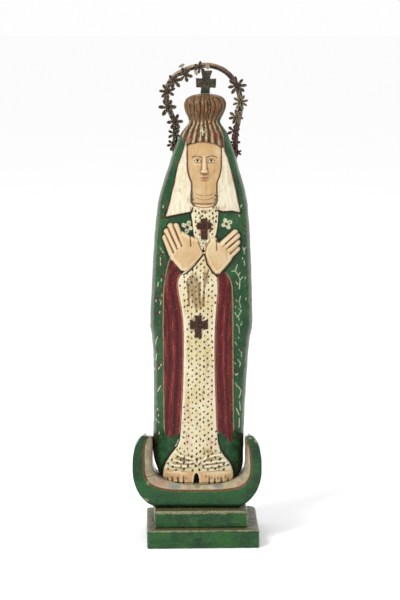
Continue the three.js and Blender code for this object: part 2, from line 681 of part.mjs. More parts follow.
// Tin flowers: [x, z, radius, petals, spin] in order up the left side, over the top and down the right.
const FLOWERS = [
  [-43.6, 594.6, 9.5, 6, 10], [-41.4, 611, 10.5, 6, 35], [-40.3, 629.1, 12.5, 6, 5], [-51.4, 650.2, 14, 6, 0],
  [-51.6, 673.6, 12.5, 7, 20], [-41.3, 689.2, 12, 6, 12], [-25.3, 698, 12, 6, 50], [-3.7, 709.1, 9.5, 6, 25],
  [52, 681.8, 14.5, 8, 8], [57.3, 658.1, 12, 8, 15], [50.6, 636.5, 12, 7, 40], [47.2, 615, 10.5, 6, 20],
  [48.6, 598.4, 8.8, 6, 0], [53, 583, 6.4, 6, 30],
];
const SHEET_THICKNESS = 0.9;
const FLOWER_LAYER = 1.5;
const PETAL_NECK = 0.36;
const PETAL_SHOULDER = 0.9;
const PETAL_HALF_ANGLE = 0.26;

// The depth just in front of the rod at height z: the rod leans back towards its ends.
function frontOfRod(z) {
  const leanBack = 3.4 * smoothstep(622, 584, z);
  return HOOP_Y + leanBack - ROD_RADIUS - CONTACT_GAP;
}

function petalledOutline(radius, petals) {
  const points = [];
  const step = (2 * Math.PI) / petals;
  const add = (share, angle) => {
    points.push(new THREE.Vector2(share * radius * Math.cos(angle), share * radius * Math.sin(angle)));
  };
  for (let i = 0; i < petals; i += 1) {
    const middle = i * step;
    add(PETAL_NECK, middle - step / 2);
    add(PETAL_SHOULDER, middle - PETAL_HALF_ANGLE * step);
    add(1, middle);
    add(PETAL_SHOULDER, middle + PETAL_HALF_ANGLE * step);
  }
  return points;
}

function tinFlower([x, z, radius, petals, spin], layer) {
  const shape = new THREE.Shape(petalledOutline(radius, petals));
  const geometry = new THREE.ExtrudeGeometry(shape, { depth: SHEET_THICKNESS, bevelEnabled: false });
  geometry.rotateZ(THREE.MathUtils.degToRad(spin));
  geometry.rotateX(Math.PI / 2);
  geometry.translate(x, frontOfRod(z + radius) - layer * FLOWER_LAYER, z);
  return geometry;
}

// Tin leaves near the hoop's top: [x, z, length, width, turn, layer].
const LEAVES = [
  [-31, 711.5, 11, 4.5, 28, 2], [-18, 711, 13, 3.6, 14, 2], [-9.5, 702.5, 10, 5, -62, 3], [7.4, 711.5, 10, 6, -70, 3],
];

function tinLeaf([x, z, length, width, turn, layer]) {
  const shape = new THREE.Shape();
  shape.moveTo(-length / 2, 0);
  shape.quadraticCurveTo(0, -width, length / 2, 0);
  shape.quadraticCurveTo(0, width, -length / 2, 0);
  const geometry = new THREE.ExtrudeGeometry(shape, {
    depth: SHEET_THICKNESS,
    curveSegments: 4,
    bevelEnabled: false,
  });
  geometry.rotateZ(THREE.MathUtils.degToRad(turn));
  geometry.rotateX(Math.PI / 2);
  geometry.translate(x, frontOfRod(z) - layer * FLOWER_LAYER, z);
  return geometry;
}

function twoDigits(number) {
  return String(number).padStart(2, '0');
}

addMesh('plinth_base', plinthBase(), materials.green);
addMesh('plinth_step', plinthStep(), materials.green);
addMesh('crescent_moon', crescentMoon(), materials.moon);
addMesh('figure', figureGeometry(), materials.figure);
addMesh('crown_cross', crownCross(), materials.darkWood);
addMesh('halo_hoop', haloHoop(), materials.rustyRod);
FLOWERS.forEach((flower, i) => {
  addMesh(`halo_flower_${twoDigits(i + 1)}`, tinFlower(flower, i % 2), materials.tin);
});
LEAVES.forEach((leaf, i) => {
  addMesh(`halo_leaf_${twoDigits(i + 1)}`, tinLeaf(leaf), materials.paleTin);
});

export default group;
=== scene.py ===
import math
import random

import bpy
import numpy as np
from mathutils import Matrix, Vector, noise


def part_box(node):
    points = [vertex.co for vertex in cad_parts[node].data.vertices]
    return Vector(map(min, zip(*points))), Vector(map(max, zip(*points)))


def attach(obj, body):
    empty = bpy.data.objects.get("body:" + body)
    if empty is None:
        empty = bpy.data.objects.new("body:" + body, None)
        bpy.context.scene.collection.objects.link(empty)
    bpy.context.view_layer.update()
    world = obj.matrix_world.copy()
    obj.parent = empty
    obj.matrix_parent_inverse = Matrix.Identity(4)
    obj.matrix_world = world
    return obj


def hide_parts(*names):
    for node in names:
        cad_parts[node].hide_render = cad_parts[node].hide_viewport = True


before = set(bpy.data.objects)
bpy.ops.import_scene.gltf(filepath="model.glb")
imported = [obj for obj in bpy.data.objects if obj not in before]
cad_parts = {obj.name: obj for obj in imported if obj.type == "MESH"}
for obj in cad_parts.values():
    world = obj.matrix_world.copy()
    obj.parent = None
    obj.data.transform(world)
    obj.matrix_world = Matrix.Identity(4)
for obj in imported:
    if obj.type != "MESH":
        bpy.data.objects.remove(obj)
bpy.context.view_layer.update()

# Lengths below are millimetres. Meshes are made in metres.
MM = 0.001

# Camera: the photograph's viewing angle, on a 400 x 600 frame
FRAME_WIDTH_PX = 400
FRAME_HEIGHT_PX = 600
FOCAL_PX = 2000
CAMERA_DISTANCE = 3000
CAMERA_ELEVATION = math.radians(8)
AIM = (-3, 0, 363)


def make_camera():
    data = bpy.data.cameras.new("camera")
    data.sensor_fit = "VERTICAL"
    data.angle_y = 2 * math.atan(FRAME_HEIGHT_PX / 2 / FOCAL_PX)
    data.clip_end = 200
    camera = bpy.data.objects.new("camera", data)
    back = CAMERA_DISTANCE * math.cos(CAMERA_ELEVATION)
    up = CAMERA_DISTANCE * math.sin(CAMERA_ELEVATION)
    camera.location = Vector((AIM[0], AIM[1] - back, AIM[2] + up)) * MM
    camera.rotation_euler = (math.pi / 2 - CAMERA_ELEVATION, 0, 0)
    bpy.context.scene.collection.objects.link(camera)
    bpy.context.scene.camera = camera


def from_photo(px, py, depth):
    """The (x, z) place that shows at pixel (px, py), on the upright plane y = depth."""
    rise = (FRAME_HEIGHT_PX / 2 - py) / FOCAL_PX
    cos, sin = math.cos(CAMERA_ELEVATION), math.sin(CAMERA_ELEVATION)
    dz = (rise * (CAMERA_DISTANCE + depth * cos) - depth * sin) / (cos + rise * sin)
    distance = CAMERA_DISTANCE + depth * cos - dz * sin
    return (px - FRAME_WIDTH_PX / 2) / FOCAL_PX * distance + AIM[0], AIM[2] + dz


def stroke_from_photo(pixels, depth):
    return [from_photo(px, py, depth) for px, py in pixels]


# Numbers and outlines
def smoothstep(low, high, value):
    t = np.clip((value - low) / (high - low), 0, 1)
    return t * t * (3 - 2 * t)


def curve_through(pairs):
    """A smooth function through (key, value) pairs with rising keys."""
    keys, values = np.array(pairs, float).T
    last = len(keys) - 1
    before = np.maximum(np.arange(last + 1) - 1, 0)
    after = np.minimum(np.arange(last + 1) + 1, last)
    slopes = (values[after] - values[before]) / (keys[after] - keys[before])

    def at(key):
        key = np.clip(key, keys[0], keys[-1])
        i = np.clip(np.searchsorted(keys, key, side="right") - 1, 0, last - 1)
        span = keys[i + 1] - keys[i]
        t = (key - keys[i]) / span
        rise = (3 - 2 * t) * t * t
        return (
            values[i] + rise * (values[i + 1] - values[i])
            + (t - 2 * t**2 + t**3) * span * slopes[i]
            + (t**3 - t**2) * span * slopes[i + 1]
        )

    return at


def cut_corners(outline, times=1):
    """The closed outline with its corners cut again and again, so that it turns smoothly."""
    points = np.array(outline, float)
    for _ in range(times):
        following = np.roll(points, -1, axis=0)
        pair = np.stack([0.75 * points + 0.25 * following, 0.25 * points + 0.75 * following], axis=1)
        points = pair.reshape(-1, 2)
    return points


def stretch_distance(a, b, x, z):
    """Distance from the points (x, z) to the straight stretch a-b."""
    along = np.array(b, float) - np.array(a, float)
    length = max(along @ along, 1e-9)
    t = np.clip(((x - a[0]) * along[0] + (z - a[1]) * along[1]) / length, 0, 1)
    return np.hypot(x - a[0] - t * along[0], z - a[1] - t * along[1])


def line_distance(points, x, z):
    """Distance to a chain of points, or to a single point."""
    ends = points[1:] if len(points) > 1 else points
    return np.minimum.reduce([stretch_distance(a, b, x, z) for a, b in zip(points, ends)])


def outline_distance(outline, x, z):
    """Distance from the points (x, z) to a closed outline, negative inside."""
    outline = np.array(outline, float)
    nearest = np.full(x.shape, 1e3)
    inside = np.zeros(x.shape, bool)
    for a, b in zip(outline, np.roll(outline, -1, axis=0)):
        nearest = np.minimum(nearest, stretch_distance(a, b, x, z))
        if a[1] != b[1]:
            crosses = ((a[1] > z) != (b[1] > z)) & (x < a[0] + (z - a[1]) / (b[1] - a[1]) * (b[0] - a[0]))
            inside ^= crosses
    return np.where(inside, -nearest, nearest)


def nearest_outline(outlines, x, z, cuts=0):
    return np.minimum.reduce([outline_distance(cut_corners(o, cuts), x, z) for o in outlines])


def plateau(distance, softness):
    """1 inside an outline, falling to 0 across its edge."""
    return 1 - smoothstep(-softness, softness, distance)


def ridge_line(distance, reach):
    """1 on a line, falling to 0 at the given distance from it."""
    return 1 - smoothstep(0.2, reach, np.abs(distance))


def bump_at(x, z, centre_x, centre_z, radius_x, radius_z):
    share = ((x - centre_x) / radius_x) ** 2 + ((z - centre_z) / radius_z) ** 2
    return np.sqrt(np.clip(1 - share, 0, 1))


def soft_bump(x, z, centre_x, centre_z, radius_x, radius_z):
    share = ((x - centre_x) / radius_x) ** 2 + ((z - centre_z) / radius_z) ** 2
    return np.exp(-2 * share)


def signed_power(value, power):
    return np.sign(value) * np.abs(value) ** power


def rough(points, size, seed):
    """Smooth noise, about -1 to 1, at an array of points in mm. size is the width of its lumps."""
    shift = Vector((seed * 17.3, seed * 5.1, seed * 9.7))
    values = [noise.noise(Vector(p) / size + shift) for p in points.reshape(-1, 3)]
    return np.array(values).reshape(points.shape[:-1])


# Meshes
def mesh_object(name, points, faces, node, material):
    """A smooth mesh from points in mm that stands for a CAD node."""
    mesh = bpy.data.meshes.new(name)
    mesh.from_pydata((np.asarray(points) * MM).tolist(), [], faces)
    piece = bpy.data.objects.new(name, mesh)
    bpy.context.scene.collection.objects.link(piece)
    return dress(piece, node, material)


def dress(piece, node, material):
    piece.data.polygons.foreach_set("use_smooth", [True] * len(piece.data.polygons))
    piece.data.update()
    piece.data.materials.clear()
    piece.data.materials.append(material)
    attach(piece, "root")
    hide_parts(node)
    return piece


def add_values(piece, name, values):
    attribute = piece.data.attributes.new(name, "FLOAT", "POINT")
    attribute.data.foreach_set("value", np.ascontiguousarray(values, np.float32).ravel())


def ring_faces(rings, columns, closed=True):
    """Quads between rings of points that each hold the same number of columns."""
    faces = []
    for r in range(rings - 1):
        for c in range(columns if closed else columns - 1):
            a = r * columns + c
            b = r * columns + (c + 1) % columns
            faces.append((a, b, b + columns, a + columns))
    return faces


def fan(ring_start, columns, middle, flip):
    """Triangles from one ring to a middle point."""
    faces = []
    for c in range(columns):
        a = ring_start + c
        b = ring_start + (c + 1) % columns
        faces.append((middle, a, b) if flip else (middle, b, a))
    return faces


# Materials: a small kit for node trees
class Paint:
    """A node tree under construction. Colours are hex strings as the eye sees them under this light."""

    LIGHT_SHARE = 0.66

    def __init__(self, name, roughness, specular=0.2, metallic=0.0):
        self.material = bpy.data.materials.new(name)
        self.material.use_nodes = True
        self.tree = self.material.node_tree
        self.shader = self.tree.nodes["Principled BSDF"]
        self.shader.inputs["Specular IOR Level"].default_value = specular
        self.shader.inputs["Metallic"].default_value = metallic
        self.shader.inputs["Roughness"].default_value = roughness
        self.place = self.tree.nodes.new("ShaderNodeTexCoord").outputs["Object"]

    def link(self, value, socket):
        if isinstance(value, bpy.types.NodeSocket):
            self.tree.links.new(value, socket)
        elif isinstance(value, str):
            socket.default_value = (*self.linear(value), 1)
        else:
            socket.default_value = value

    def linear(self, text):
        channels = [int(text[i : i + 2], 16) / 255 for i in (0, 2, 4)]
        curved = [c / 12.92 if c <= 0.04045 else ((c + 0.055) / 1.055) ** 2.4 for c in channels]
        return [self.LIGHT_SHARE * c for c in curved]

    def math(self, operation, a, b=0.0):
        node = self.tree.nodes.new("ShaderNodeMath")
        node.operation = operation
        self.link(a, node.inputs[0])
        self.link(b, node.inputs[1])
        return node.outputs[0]

    def add(self, a, b, share=1.0):
        """a plus a share of b."""
        return self.math("ADD", a, b if share == 1.0 else self.math("MULTIPLY", b, share))

    def centred(self, noise_value, width):
        """Noise moved to both sides of 0 and scaled to the given width."""
        return self.math("MULTIPLY", self.math("SUBTRACT", noise_value, 0.5), width)

    def value(self, name):
        node = self.tree.nodes.new("ShaderNodeAttribute")
        node.attribute_name = name
        return node.outputs["Fac"]

    def stretched(self, x, y, z):
        node = self.tree.nodes.new("ShaderNodeMapping")
        self.link(self.place, node.inputs["Vector"])
        node.inputs["Scale"].default_value = (x, y, z)
        return node.outputs[0]

    def noise(self, lump, offset=0.0, detail=3.0, sharpness=0.6, where=None):
        """Noise from 0 to 1 with lumps of the given width in mm."""
        node = self.tree.nodes.new("ShaderNodeTexNoise")
        node.noise_dimensions = "4D"
        self.link(where or self.place, node.inputs["Vector"])
        node.inputs["W"].default_value = offset
        node.inputs["Scale"].default_value = 1 / (lump * MM)
        node.inputs["Detail"].default_value = detail
        node.inputs["Roughness"].default_value = sharpness
        return node.outputs["Fac"]

    def step(self, value, low, high):
        """0 below low and 1 above high, also for low above high."""
        node = self.tree.nodes.new("ShaderNodeMapRange")
        node.interpolation_type = "SMOOTHSTEP"
        self.link(value, node.inputs["Value"])
        flipped = low > high
        node.inputs["From Min"].default_value = high if flipped else low
        node.inputs["From Max"].default_value = low if flipped else high
        node.inputs["To Min"].default_value = 1 if flipped else 0
        node.inputs["To Max"].default_value = 0 if flipped else 1
        return node.outputs["Result"]

    def specks(self, lump, rarity, offset):
        return self.step(self.noise(lump, offset, 2, 0.5), rarity, rarity + 0.05)

    def mix(self, share, a, b):
        node = self.tree.nodes.new("ShaderNodeMix")
        node.data_type = "RGBA"
        self.link(share, node.inputs["Factor"])
        self.link(a, node.inputs["A"])
        self.link(b, node.inputs["B"])
        return node.outputs["Result"]

    def over(self, under, mask, color, strength=1.0):
        """The colour laid over what is under it, where the mask is 1."""
        return self.mix(mask if strength == 1.0 else self.math("MULTIPLY", mask, strength), under, color)

    def inside(self, name, wobble, edge=0.0, softness=0.35):
        """A mask that is 1 where the stored distance is below the edge, with a hand-painted wobble."""
        return self.step(self.add(self.value(name), wobble), edge + softness, edge - softness)

    def both(self, first, second):
        return self.math("MULTIPLY", first, second)

    def finish(self, color, height, depth, roughness=None):
        """Joins the colour and a bump of the given depth in mm to the shader."""
        self.link(color, self.shader.inputs["Base Color"])
        if roughness is not None:
            self.link(roughness, self.shader.inputs["Roughness"])
        node = self.tree.nodes.new("ShaderNodeBump")
        node.inputs["Distance"].default_value = depth * MM
        node.inputs["Strength"].default_value = 1.0
        self.link(height, node.inputs["Height"])
        self.tree.links.new(node.outputs["Normal"], self.shader.inputs["Normal"])
        return self.material


# Figure: the plain form, as in the CAD part
CONTACT_GAP = 0.35
FIGURE_BOTTOM = 89
DOME_TOP = 671
AXIS_Y = 2
half_width_at = curve_through([
    (89, 49), (93, 55.5), (98, 60.5), (104, 63.5), (117, 67), (135, 68.5), (185, 68.6), (234, 69.7),
    (283, 71.5), (308, 73.8), (326, 76.7), (368, 75.6), (417, 73.6), (465, 70.8), (501, 67.6), (525, 63.6),
    (549, 56.5), (565, 51.4), (579, 47.6), (593, 42.6), (604, 38.2), (614, 33.8), (622, 28), (629, 23.4),
    (634, 24.2), (640, 27), (648, 30.2), (655, 31.3), (661, 29.6), (666, 25.4), (669.5, 17), (DOME_TOP, 9),
])
DOME_DEPTHS = [
    (629, 20.5), (634, 21.5), (640, 24.5), (648, 27.5), (655, 28.5), (661, 27), (666, 23), (669.5, 15), (DOME_TOP, 8),
]
front_depth_at = curve_through([
    (89, 32), (100, 35), (117, 37.5), (160, 38), (234, 39), (326, 40), (440, 40), (501, 38), (549, 37),
    (579, 36.5), (604, 34), (614, 30), (622, 25), *DOME_DEPTHS,
])
back_depth_at = curve_through([
    (89, 24), (93, 29), (98, 33), (104, 36), (117, 39), (160, 41), (326, 44), (440, 43), (501, 41), (549, 38),
    (579, 34), (604, 29), (614, 26), (622, 23), *DOME_DEPTHS,
])
squareness_at = curve_through([(89, 2.5), (560, 2.5), (600, 2.2), (625, 2), (DOME_TOP, 2)])


def axis_x(z):
    foot = 3.5 * (1 - smoothstep(100, 140, z))
    return -6.2 + 0.0205 * (z - 117) + 0.9 * np.sin((z - 160) / 82) + foot


FRONT_COLUMNS = 150
BACK_COLUMNS = 20
MIDDLE_DENSITY = 0.05
ROW_SPACING = [(89, 150, 1.0), (150, 400, 1.35), (400, 500, 0.95), (500, 612, 0.8), (612, 671, 0.9)]
ARC_SAMPLES = 240


def figure_rows():
    levels = [np.arange(low, high - spacing / 2, spacing) for low, high, spacing in ROW_SPACING]
    return np.append(np.concatenate(levels), DOME_TOP)


def even_section(half_width, depth, power, columns, density):
    """Half of a rounded outline, sampled along its length and a little closer together in the middle."""
    angle = np.linspace(0, math.pi, ARC_SAMPLES + 1)
    x = -half_width * signed_power(np.cos(angle), 2 / power)
    y = depth * np.abs(np.sin(angle)) ** (2 / power)
    length = np.append(0, np.cumsum(np.hypot(np.diff(x), np.diff(y))))
    share = np.arange(columns) / columns
    wanted = length[-1] * (share + density * np.sin(2 * math.pi * share))
    return np.interp(wanted, length, x), np.interp(wanted, length, y)


# Outlines on the figure's front, as (x, z). The veils reach in under the face's opening, which cuts them off.
VEILS = [
    [(-23.5, 604), (-27.8, 587.3), (-34.4, 568.8), (-40.3, 541.6), (-47.6, 510.8), (-53.6, 491), (-34.2, 495.9),
     (-16.7, 499.5), (-12, 512), (-12, 604)],
    [(31.4, 600), (33.2, 588), (37.5, 578.5), (42.2, 559.7), (47, 540.9), (52.6, 515.4), (56.8, 497.5),
     (44.1, 500.5), (30.6, 499.9), (24.4, 502), (19, 512), (19, 600)],
]
ROBE = [
    (-17, 512), (-16.5, 500), (-13.5, 480), (-12, 462), (-3, 446), (2, 438), (-30, 408), (-36.5, 396),
    (-34, 375), (-28.5, 345), (-27, 309), (-28, 240), (-31.5, 172), (-34, 150), (-46, 135), (-56, 118), (-59, 103),
    (-58, 86), (46, 86), (47, 103), (44, 118), (33, 132), (25, 145), (22, 172), (19.5, 240), (18.5, 316),
    (22, 362), (23.5, 384), (22, 408), (3, 438), (12, 452), (20, 462), (23, 480), (24.5, 500), (25, 512),
]
REDS = [
    [(-43.5, 436), (-49, 420), (-54, 395), (-56, 370), (-56.5, 309), (-56, 220), (-55, 158), (-51, 163),
     (-48, 157), (-44, 164), (-40, 161), (-34.5, 167), (-30, 230), (-27, 309), (-29, 350), (-36, 392), (-33, 412)],
    [(24, 409), (33, 410), (40, 400), (44, 384), (44.5, 316), (45, 220), (46.5, 150), (43, 153), (41, 151),
     (37, 160), (33, 161), (29, 169), (23, 167), (20, 240), (18.5, 316), (22, 362), (23.5, 390)],
]
LOWERS = [
    [(-66, 169), (-34, 168), (-35, 150), (-46, 136), (-57, 118), (-60, 95), (-66, 118)],
    [(56, 169), (23, 170), (25, 146), (34, 133), (44, 118), (47, 95), (56, 118)],
]
CROWN_ZONE = [
    (-70, 614), (-31, 612), (-28, 604), (-25, 596.2), (-17.6, 598.4), (-3, 602), (7.3, 601.7), (19, 599.1),
    (31.6, 592.5), (33, 597), (31.9, 607), (29.2, 617.5), (25.6, 625), (22.7, 632), (24.5, 636), (70, 640),
    (70, 720), (-70, 720),
]
CROWN_BAND = [
    (-31, 612), (-28, 604), (-25, 596.2), (-17.6, 598.4), (-3, 602), (7.3, 601.7), (19, 599.1), (31.6, 592.5),
    (33, 597), (31.5, 610), (24, 632), (-19, 632),
]
CROSSES = [
    [(-1.5, 489.5), (7.8, 489.5), (7.4, 483), (13.3, 483.6), (13.3, 474.2), (7.6, 474.8), (7.8, 459.5),
     (-1.3, 459.5), (-1.5, 474.5), (-7.4, 474), (-7.1, 483.4), (-1.5, 483)],
    [(-11.4, 346), (0, 345.5), (-1.8, 337.5), (8.4, 339), (8.4, 325.5), (-1.8, 326.5), (-0.6, 312.4),
     (-11, 312.8), (-9.4, 326.5), (-17.3, 325), (-17.3, 339), (-9.4, 337.5)],
]

# Hands: fingers and thumb are bars, the back of the hand and the wrist are outlines.
HANDS = [
    {
        "fingers": [((-38.6, 477.6), (-25, 446)), ((-46.6, 477.4), (-31.5, 443)),
                    ((-51.8, 469.4), (-37.5, 438)), ((-54, 460.2), (-42.5, 431))],
        "thumb": ((-10, 456.5), (-13, 440)),
        "palm": [(-32, 472), (-24, 467.5), (-17.5, 463.5), (-11.5, 462), (-6, 455), (-2, 447), (2.5, 437),
                 (-12, 421), (-26.5, 407.5), (-44, 427), (-49, 437), (-40, 443)],
        "gaps": [((-42.7, 480), (-30, 449)), ((-51, 476), (-36.5, 444.5)), ((-55, 466.5), (-42, 438.5))],
        "thumb_gap": ((-17.5, 463.5), (-16.5, 449)),
        "cuff": [(-27.5, 406), (-19, 411.5), (-10, 421), (2.5, 437)],
    },
    {
        "fingers": [((48.8, 468), (27, 449)), ((51.6, 462.6), (32, 445)),
                    ((51.6, 453.4), (35.5, 438.5)), ((51.4, 443.8), (38, 431.5))],
        "thumb": ((16.5, 457), (12.5, 442)),
        "palm": [(20.5, 456), (28, 452), (36, 446), (44, 437), (45, 430), (36, 419), (22.5, 404), (11.5, 418),
                 (4, 437), (5.5, 447), (10, 455), (17.9, 461.5)],
        "gaps": [((54.5, 469.5), (34.7, 452.3)), ((56, 460), (40, 447)), ((56, 449.5), (42, 437))],
        "thumb_gap": ((21.5, 457.5), (21.6, 443)),
        "cuff": [(23, 403), (14, 412), (7.5, 423), (3.5, 437)],
    },
]
FINGER_RADIUS = 4.8
THUMB_RADIUS = 5.8
HAND_HEIGHT = 6.4
FINGER_GAP_DEPTH = 2.4
KNOB = (1.4, 453)

# Face: calm, four to three, on even thirds between the crown band and the chin, five eye widths wide
FACE_X = 3.4
FACE_TOP = 602
FACE_WIDTH = 51
FACE_CHIN = FACE_TOP - FACE_WIDTH * 4 / 3
FACE_HEIGHT = 12
THIRD = (FACE_TOP - FACE_CHIN) / 3
BROW_Z = FACE_TOP - THIRD
NOSE_Z = FACE_TOP - 2 * THIRD
MOUTH_Z = NOSE_Z - THIRD / 3
EYE_Z = BROW_Z - 5
EYE_APART = FACE_WIDTH / 5
EYE_HALF = EYE_APART / 2
FACE_MIDDLE_Z = (FACE_TOP + FACE_CHIN) / 2
FACE_OVAL_HALF_HEIGHT = THIRD * 1.68


def face_relief(x, z):
    dx = x - FACE_X
    side = np.abs(dx)
    jaw = 1 - 0.2 * smoothstep(NOSE_Z + 6, FACE_CHIN, z)
    oval = bump_at(dx / jaw, z, 0, FACE_MIDDLE_Z, FACE_WIDTH / 2, FACE_OVAL_HALF_HEIGHT)
    height = FACE_HEIGHT * oval
    height += 1.3 * soft_bump(side, z, 12.5, NOSE_Z + 5, 9, 9)
    height -= 2.6 * soft_bump(side, z, EYE_APART, EYE_Z, 7.5, 5.5)
    height += 2.2 * bump_at(side, z, EYE_APART, EYE_Z, EYE_HALF + 0.9, 3.2)
    height += 0.9 * soft_bump(side, z, EYE_APART + 0.5, BROW_Z + 0.5, 9, 2.4)
    bridge = np.clip((BROW_Z + 2 - z) / (BROW_Z + 2 - NOSE_Z), 0, 1)
    nose_half = 2.4 + 2.5 * bridge
    under = smoothstep(NOSE_Z - 1.4, NOSE_Z + 1.2, z) * (1 - smoothstep(BROW_Z - 1, BROW_Z + 5, z))
    height += (1 + 5.6 * bridge) * np.clip(1 - (dx / nose_half) ** 2, 0, 1) ** 0.8 * under
    height += 2.1 * bump_at(side, z, 4.1, NOSE_Z + 2, 2.1, 2.4)
    height += 1.2 * soft_bump(dx, z, 0, MOUTH_Z, 9, 5.5)
    height += 1.2 * bump_at(dx, z, 0, MOUTH_Z + 1.4, 6.6, 1.6)
    height += 1.5 * bump_at(dx, z, 0, MOUTH_Z - 1.7, 5.6, 1.9)
    height -= 1.1 * soft_bump(dx, z, 0, MOUTH_Z, 8, 0.8)
    height -= 0.4 * soft_bump(dx, z, 0, MOUTH_Z + 4.4, 1.4, 2.2)
    height -= 0.8 * soft_bump(dx, z, 0, MOUTH_Z - 5.2, 7, 1.8)
    height += 1.6 * soft_bump(dx, z, 0, FACE_CHIN + 5, 8, 5)
    return height * smoothstep(FACE_CHIN - 2, FACE_CHIN + 2, z)


NECK_HALF_WIDTH = 19
NECK_HEIGHT = 5.2
NECK_FOLDS = (516.5, 522.5)


def neck_relief(x, z):
    dx = x - FACE_X
    height = NECK_HEIGHT * np.sqrt(np.clip(1 - (dx / NECK_HALF_WIDTH) ** 2, 0, 1))
    for level in NECK_FOLDS:
        height -= 0.8 * ridge_line(z - level - 0.02 * dx**2, 1.5)
    return height


# The opening between the veils: as wide as the face, down its oval to the neck, then a shallow arc
OPENING_TOP = 610
OPENING_FOOT = 512
OPENING_STEPS = 14
OPENING_ARC = [(0.7, 6), (0, 8.5), (-0.7, 6)]


def face_opening():
    levels = np.linspace(OPENING_TOP, OPENING_FOOT, OPENING_STEPS)
    drop = np.clip((FACE_MIDDLE_Z - levels) / FACE_OVAL_HALF_HEIGHT, 0, 1)
    half = np.maximum(NECK_HALF_WIDTH, FACE_WIDTH / 2 * np.sqrt(1 - drop**2))
    foot = [(FACE_X + share * NECK_HALF_WIDTH, OPENING_FOOT - depth) for share, depth in OPENING_ARC]
    return [*zip(FACE_X + half, levels), *foot, *zip((FACE_X - half)[::-1], levels[::-1])]


# Feet, by the photograph's pixels: the edges of the toes from left to right on each foot
FEET_DEPTH = -44
TOE_EDGES = [(163, 167.5, 172.3, 178.2, 183.6, 193.3), (199.4, 209.2, 214.8, 221.4, 228, 234)]
TOE_LINE_LENGTHS = [(5, 6, 7, 9), (9, 6, 7, 5)]
TOE_TOP = 114
FEET_HEIGHT = 5.4
FEET_NOTCH = (-8.4, 92, 4.5, 15)


def toe_lines():
    """The cuts between the toes, as (x, top) from the sole upwards."""
    out = []
    for edges, lengths in zip(TOE_EDGES, TOE_LINE_LENGTHS):
        places = [from_photo(px, 480, FEET_DEPTH)[0] for px in edges[1:-1]]
        out += [(x, 93 + length) for x, length in zip(places, lengths)]
    return out


def feet_relief(x, z):
    height = np.zeros_like(x)
    for edges in TOE_EDGES:
        start, end = (from_photo(px, 480, FEET_DEPTH)[0] for px in (edges[0], edges[-1]))
        across = np.abs(x - (start + end) / 2) / ((end - start) / 2)
        round_side = np.sqrt(np.clip(1 - across**4, 0, 1))
        height = np.maximum(height, FEET_HEIGHT * round_side)
    for line_x, top in toe_lines():
        height -= 3.0 * ridge_line(x - line_x, 2.2) * (1 - smoothstep(top - 5, top + 3, z)) * (height > 0)
    return np.maximum(height, 0) * (1 - smoothstep(TOE_TOP - 8, TOE_TOP, z))


# Hem folds, by the photograph's pixels: ridges that rise to both sides of a V in the middle
HEM_FOLDS_PX = [
    [(175.5, 453.6), (180, 456), (186, 458), (191.7, 458.9)], [(168.6, 458.4), (174, 461), (183, 462.6), (192, 462.2)],
    [(166, 463), (172, 466), (181, 466.8), (190.5, 466)],
    [(201.9, 461.4), (206.5, 457.3), (214.9, 455.7), (219.5, 455.3), (225.7, 458.4), (228.3, 460.7)],
    [(203, 463.6), (208, 462.8), (215.7, 461.8), (221.8, 461.4), (229, 461.6)],
    [(202.7, 467), (210.3, 466.6), (218, 466), (224.1, 464.7), (230, 465)],
    [(192.5, 457.5), (197, 464.8)], [(201.5, 457.5), (197, 464.8)],
]
HEM_DEPTH = -42
HEM_FOLDS = [stroke_from_photo(fold, HEM_DEPTH) for fold in HEM_FOLDS_PX]

# Cuts down the red panels, by distance from the robe: 0 on a ridge to 1 in a groove
left_groove = curve_through([(-3, 0), (0, 0), (5, 0.45), (10.5, 1), (16, 0.1), (21.5, 0.95), (27, 0.2), (40, 0.2)])
right_groove = curve_through([
    (-3, 0), (0, 0), (4, 0.4), (9, 0.85), (13.5, 0.1), (17.3, 1), (21.5, 0.2), (24.5, 0.7), (27, 0.2), (40, 0.2),
])
RIM_BOTTOM = 166
LEFT_RIM_X = -46
RIGHT_RIM_X = 34


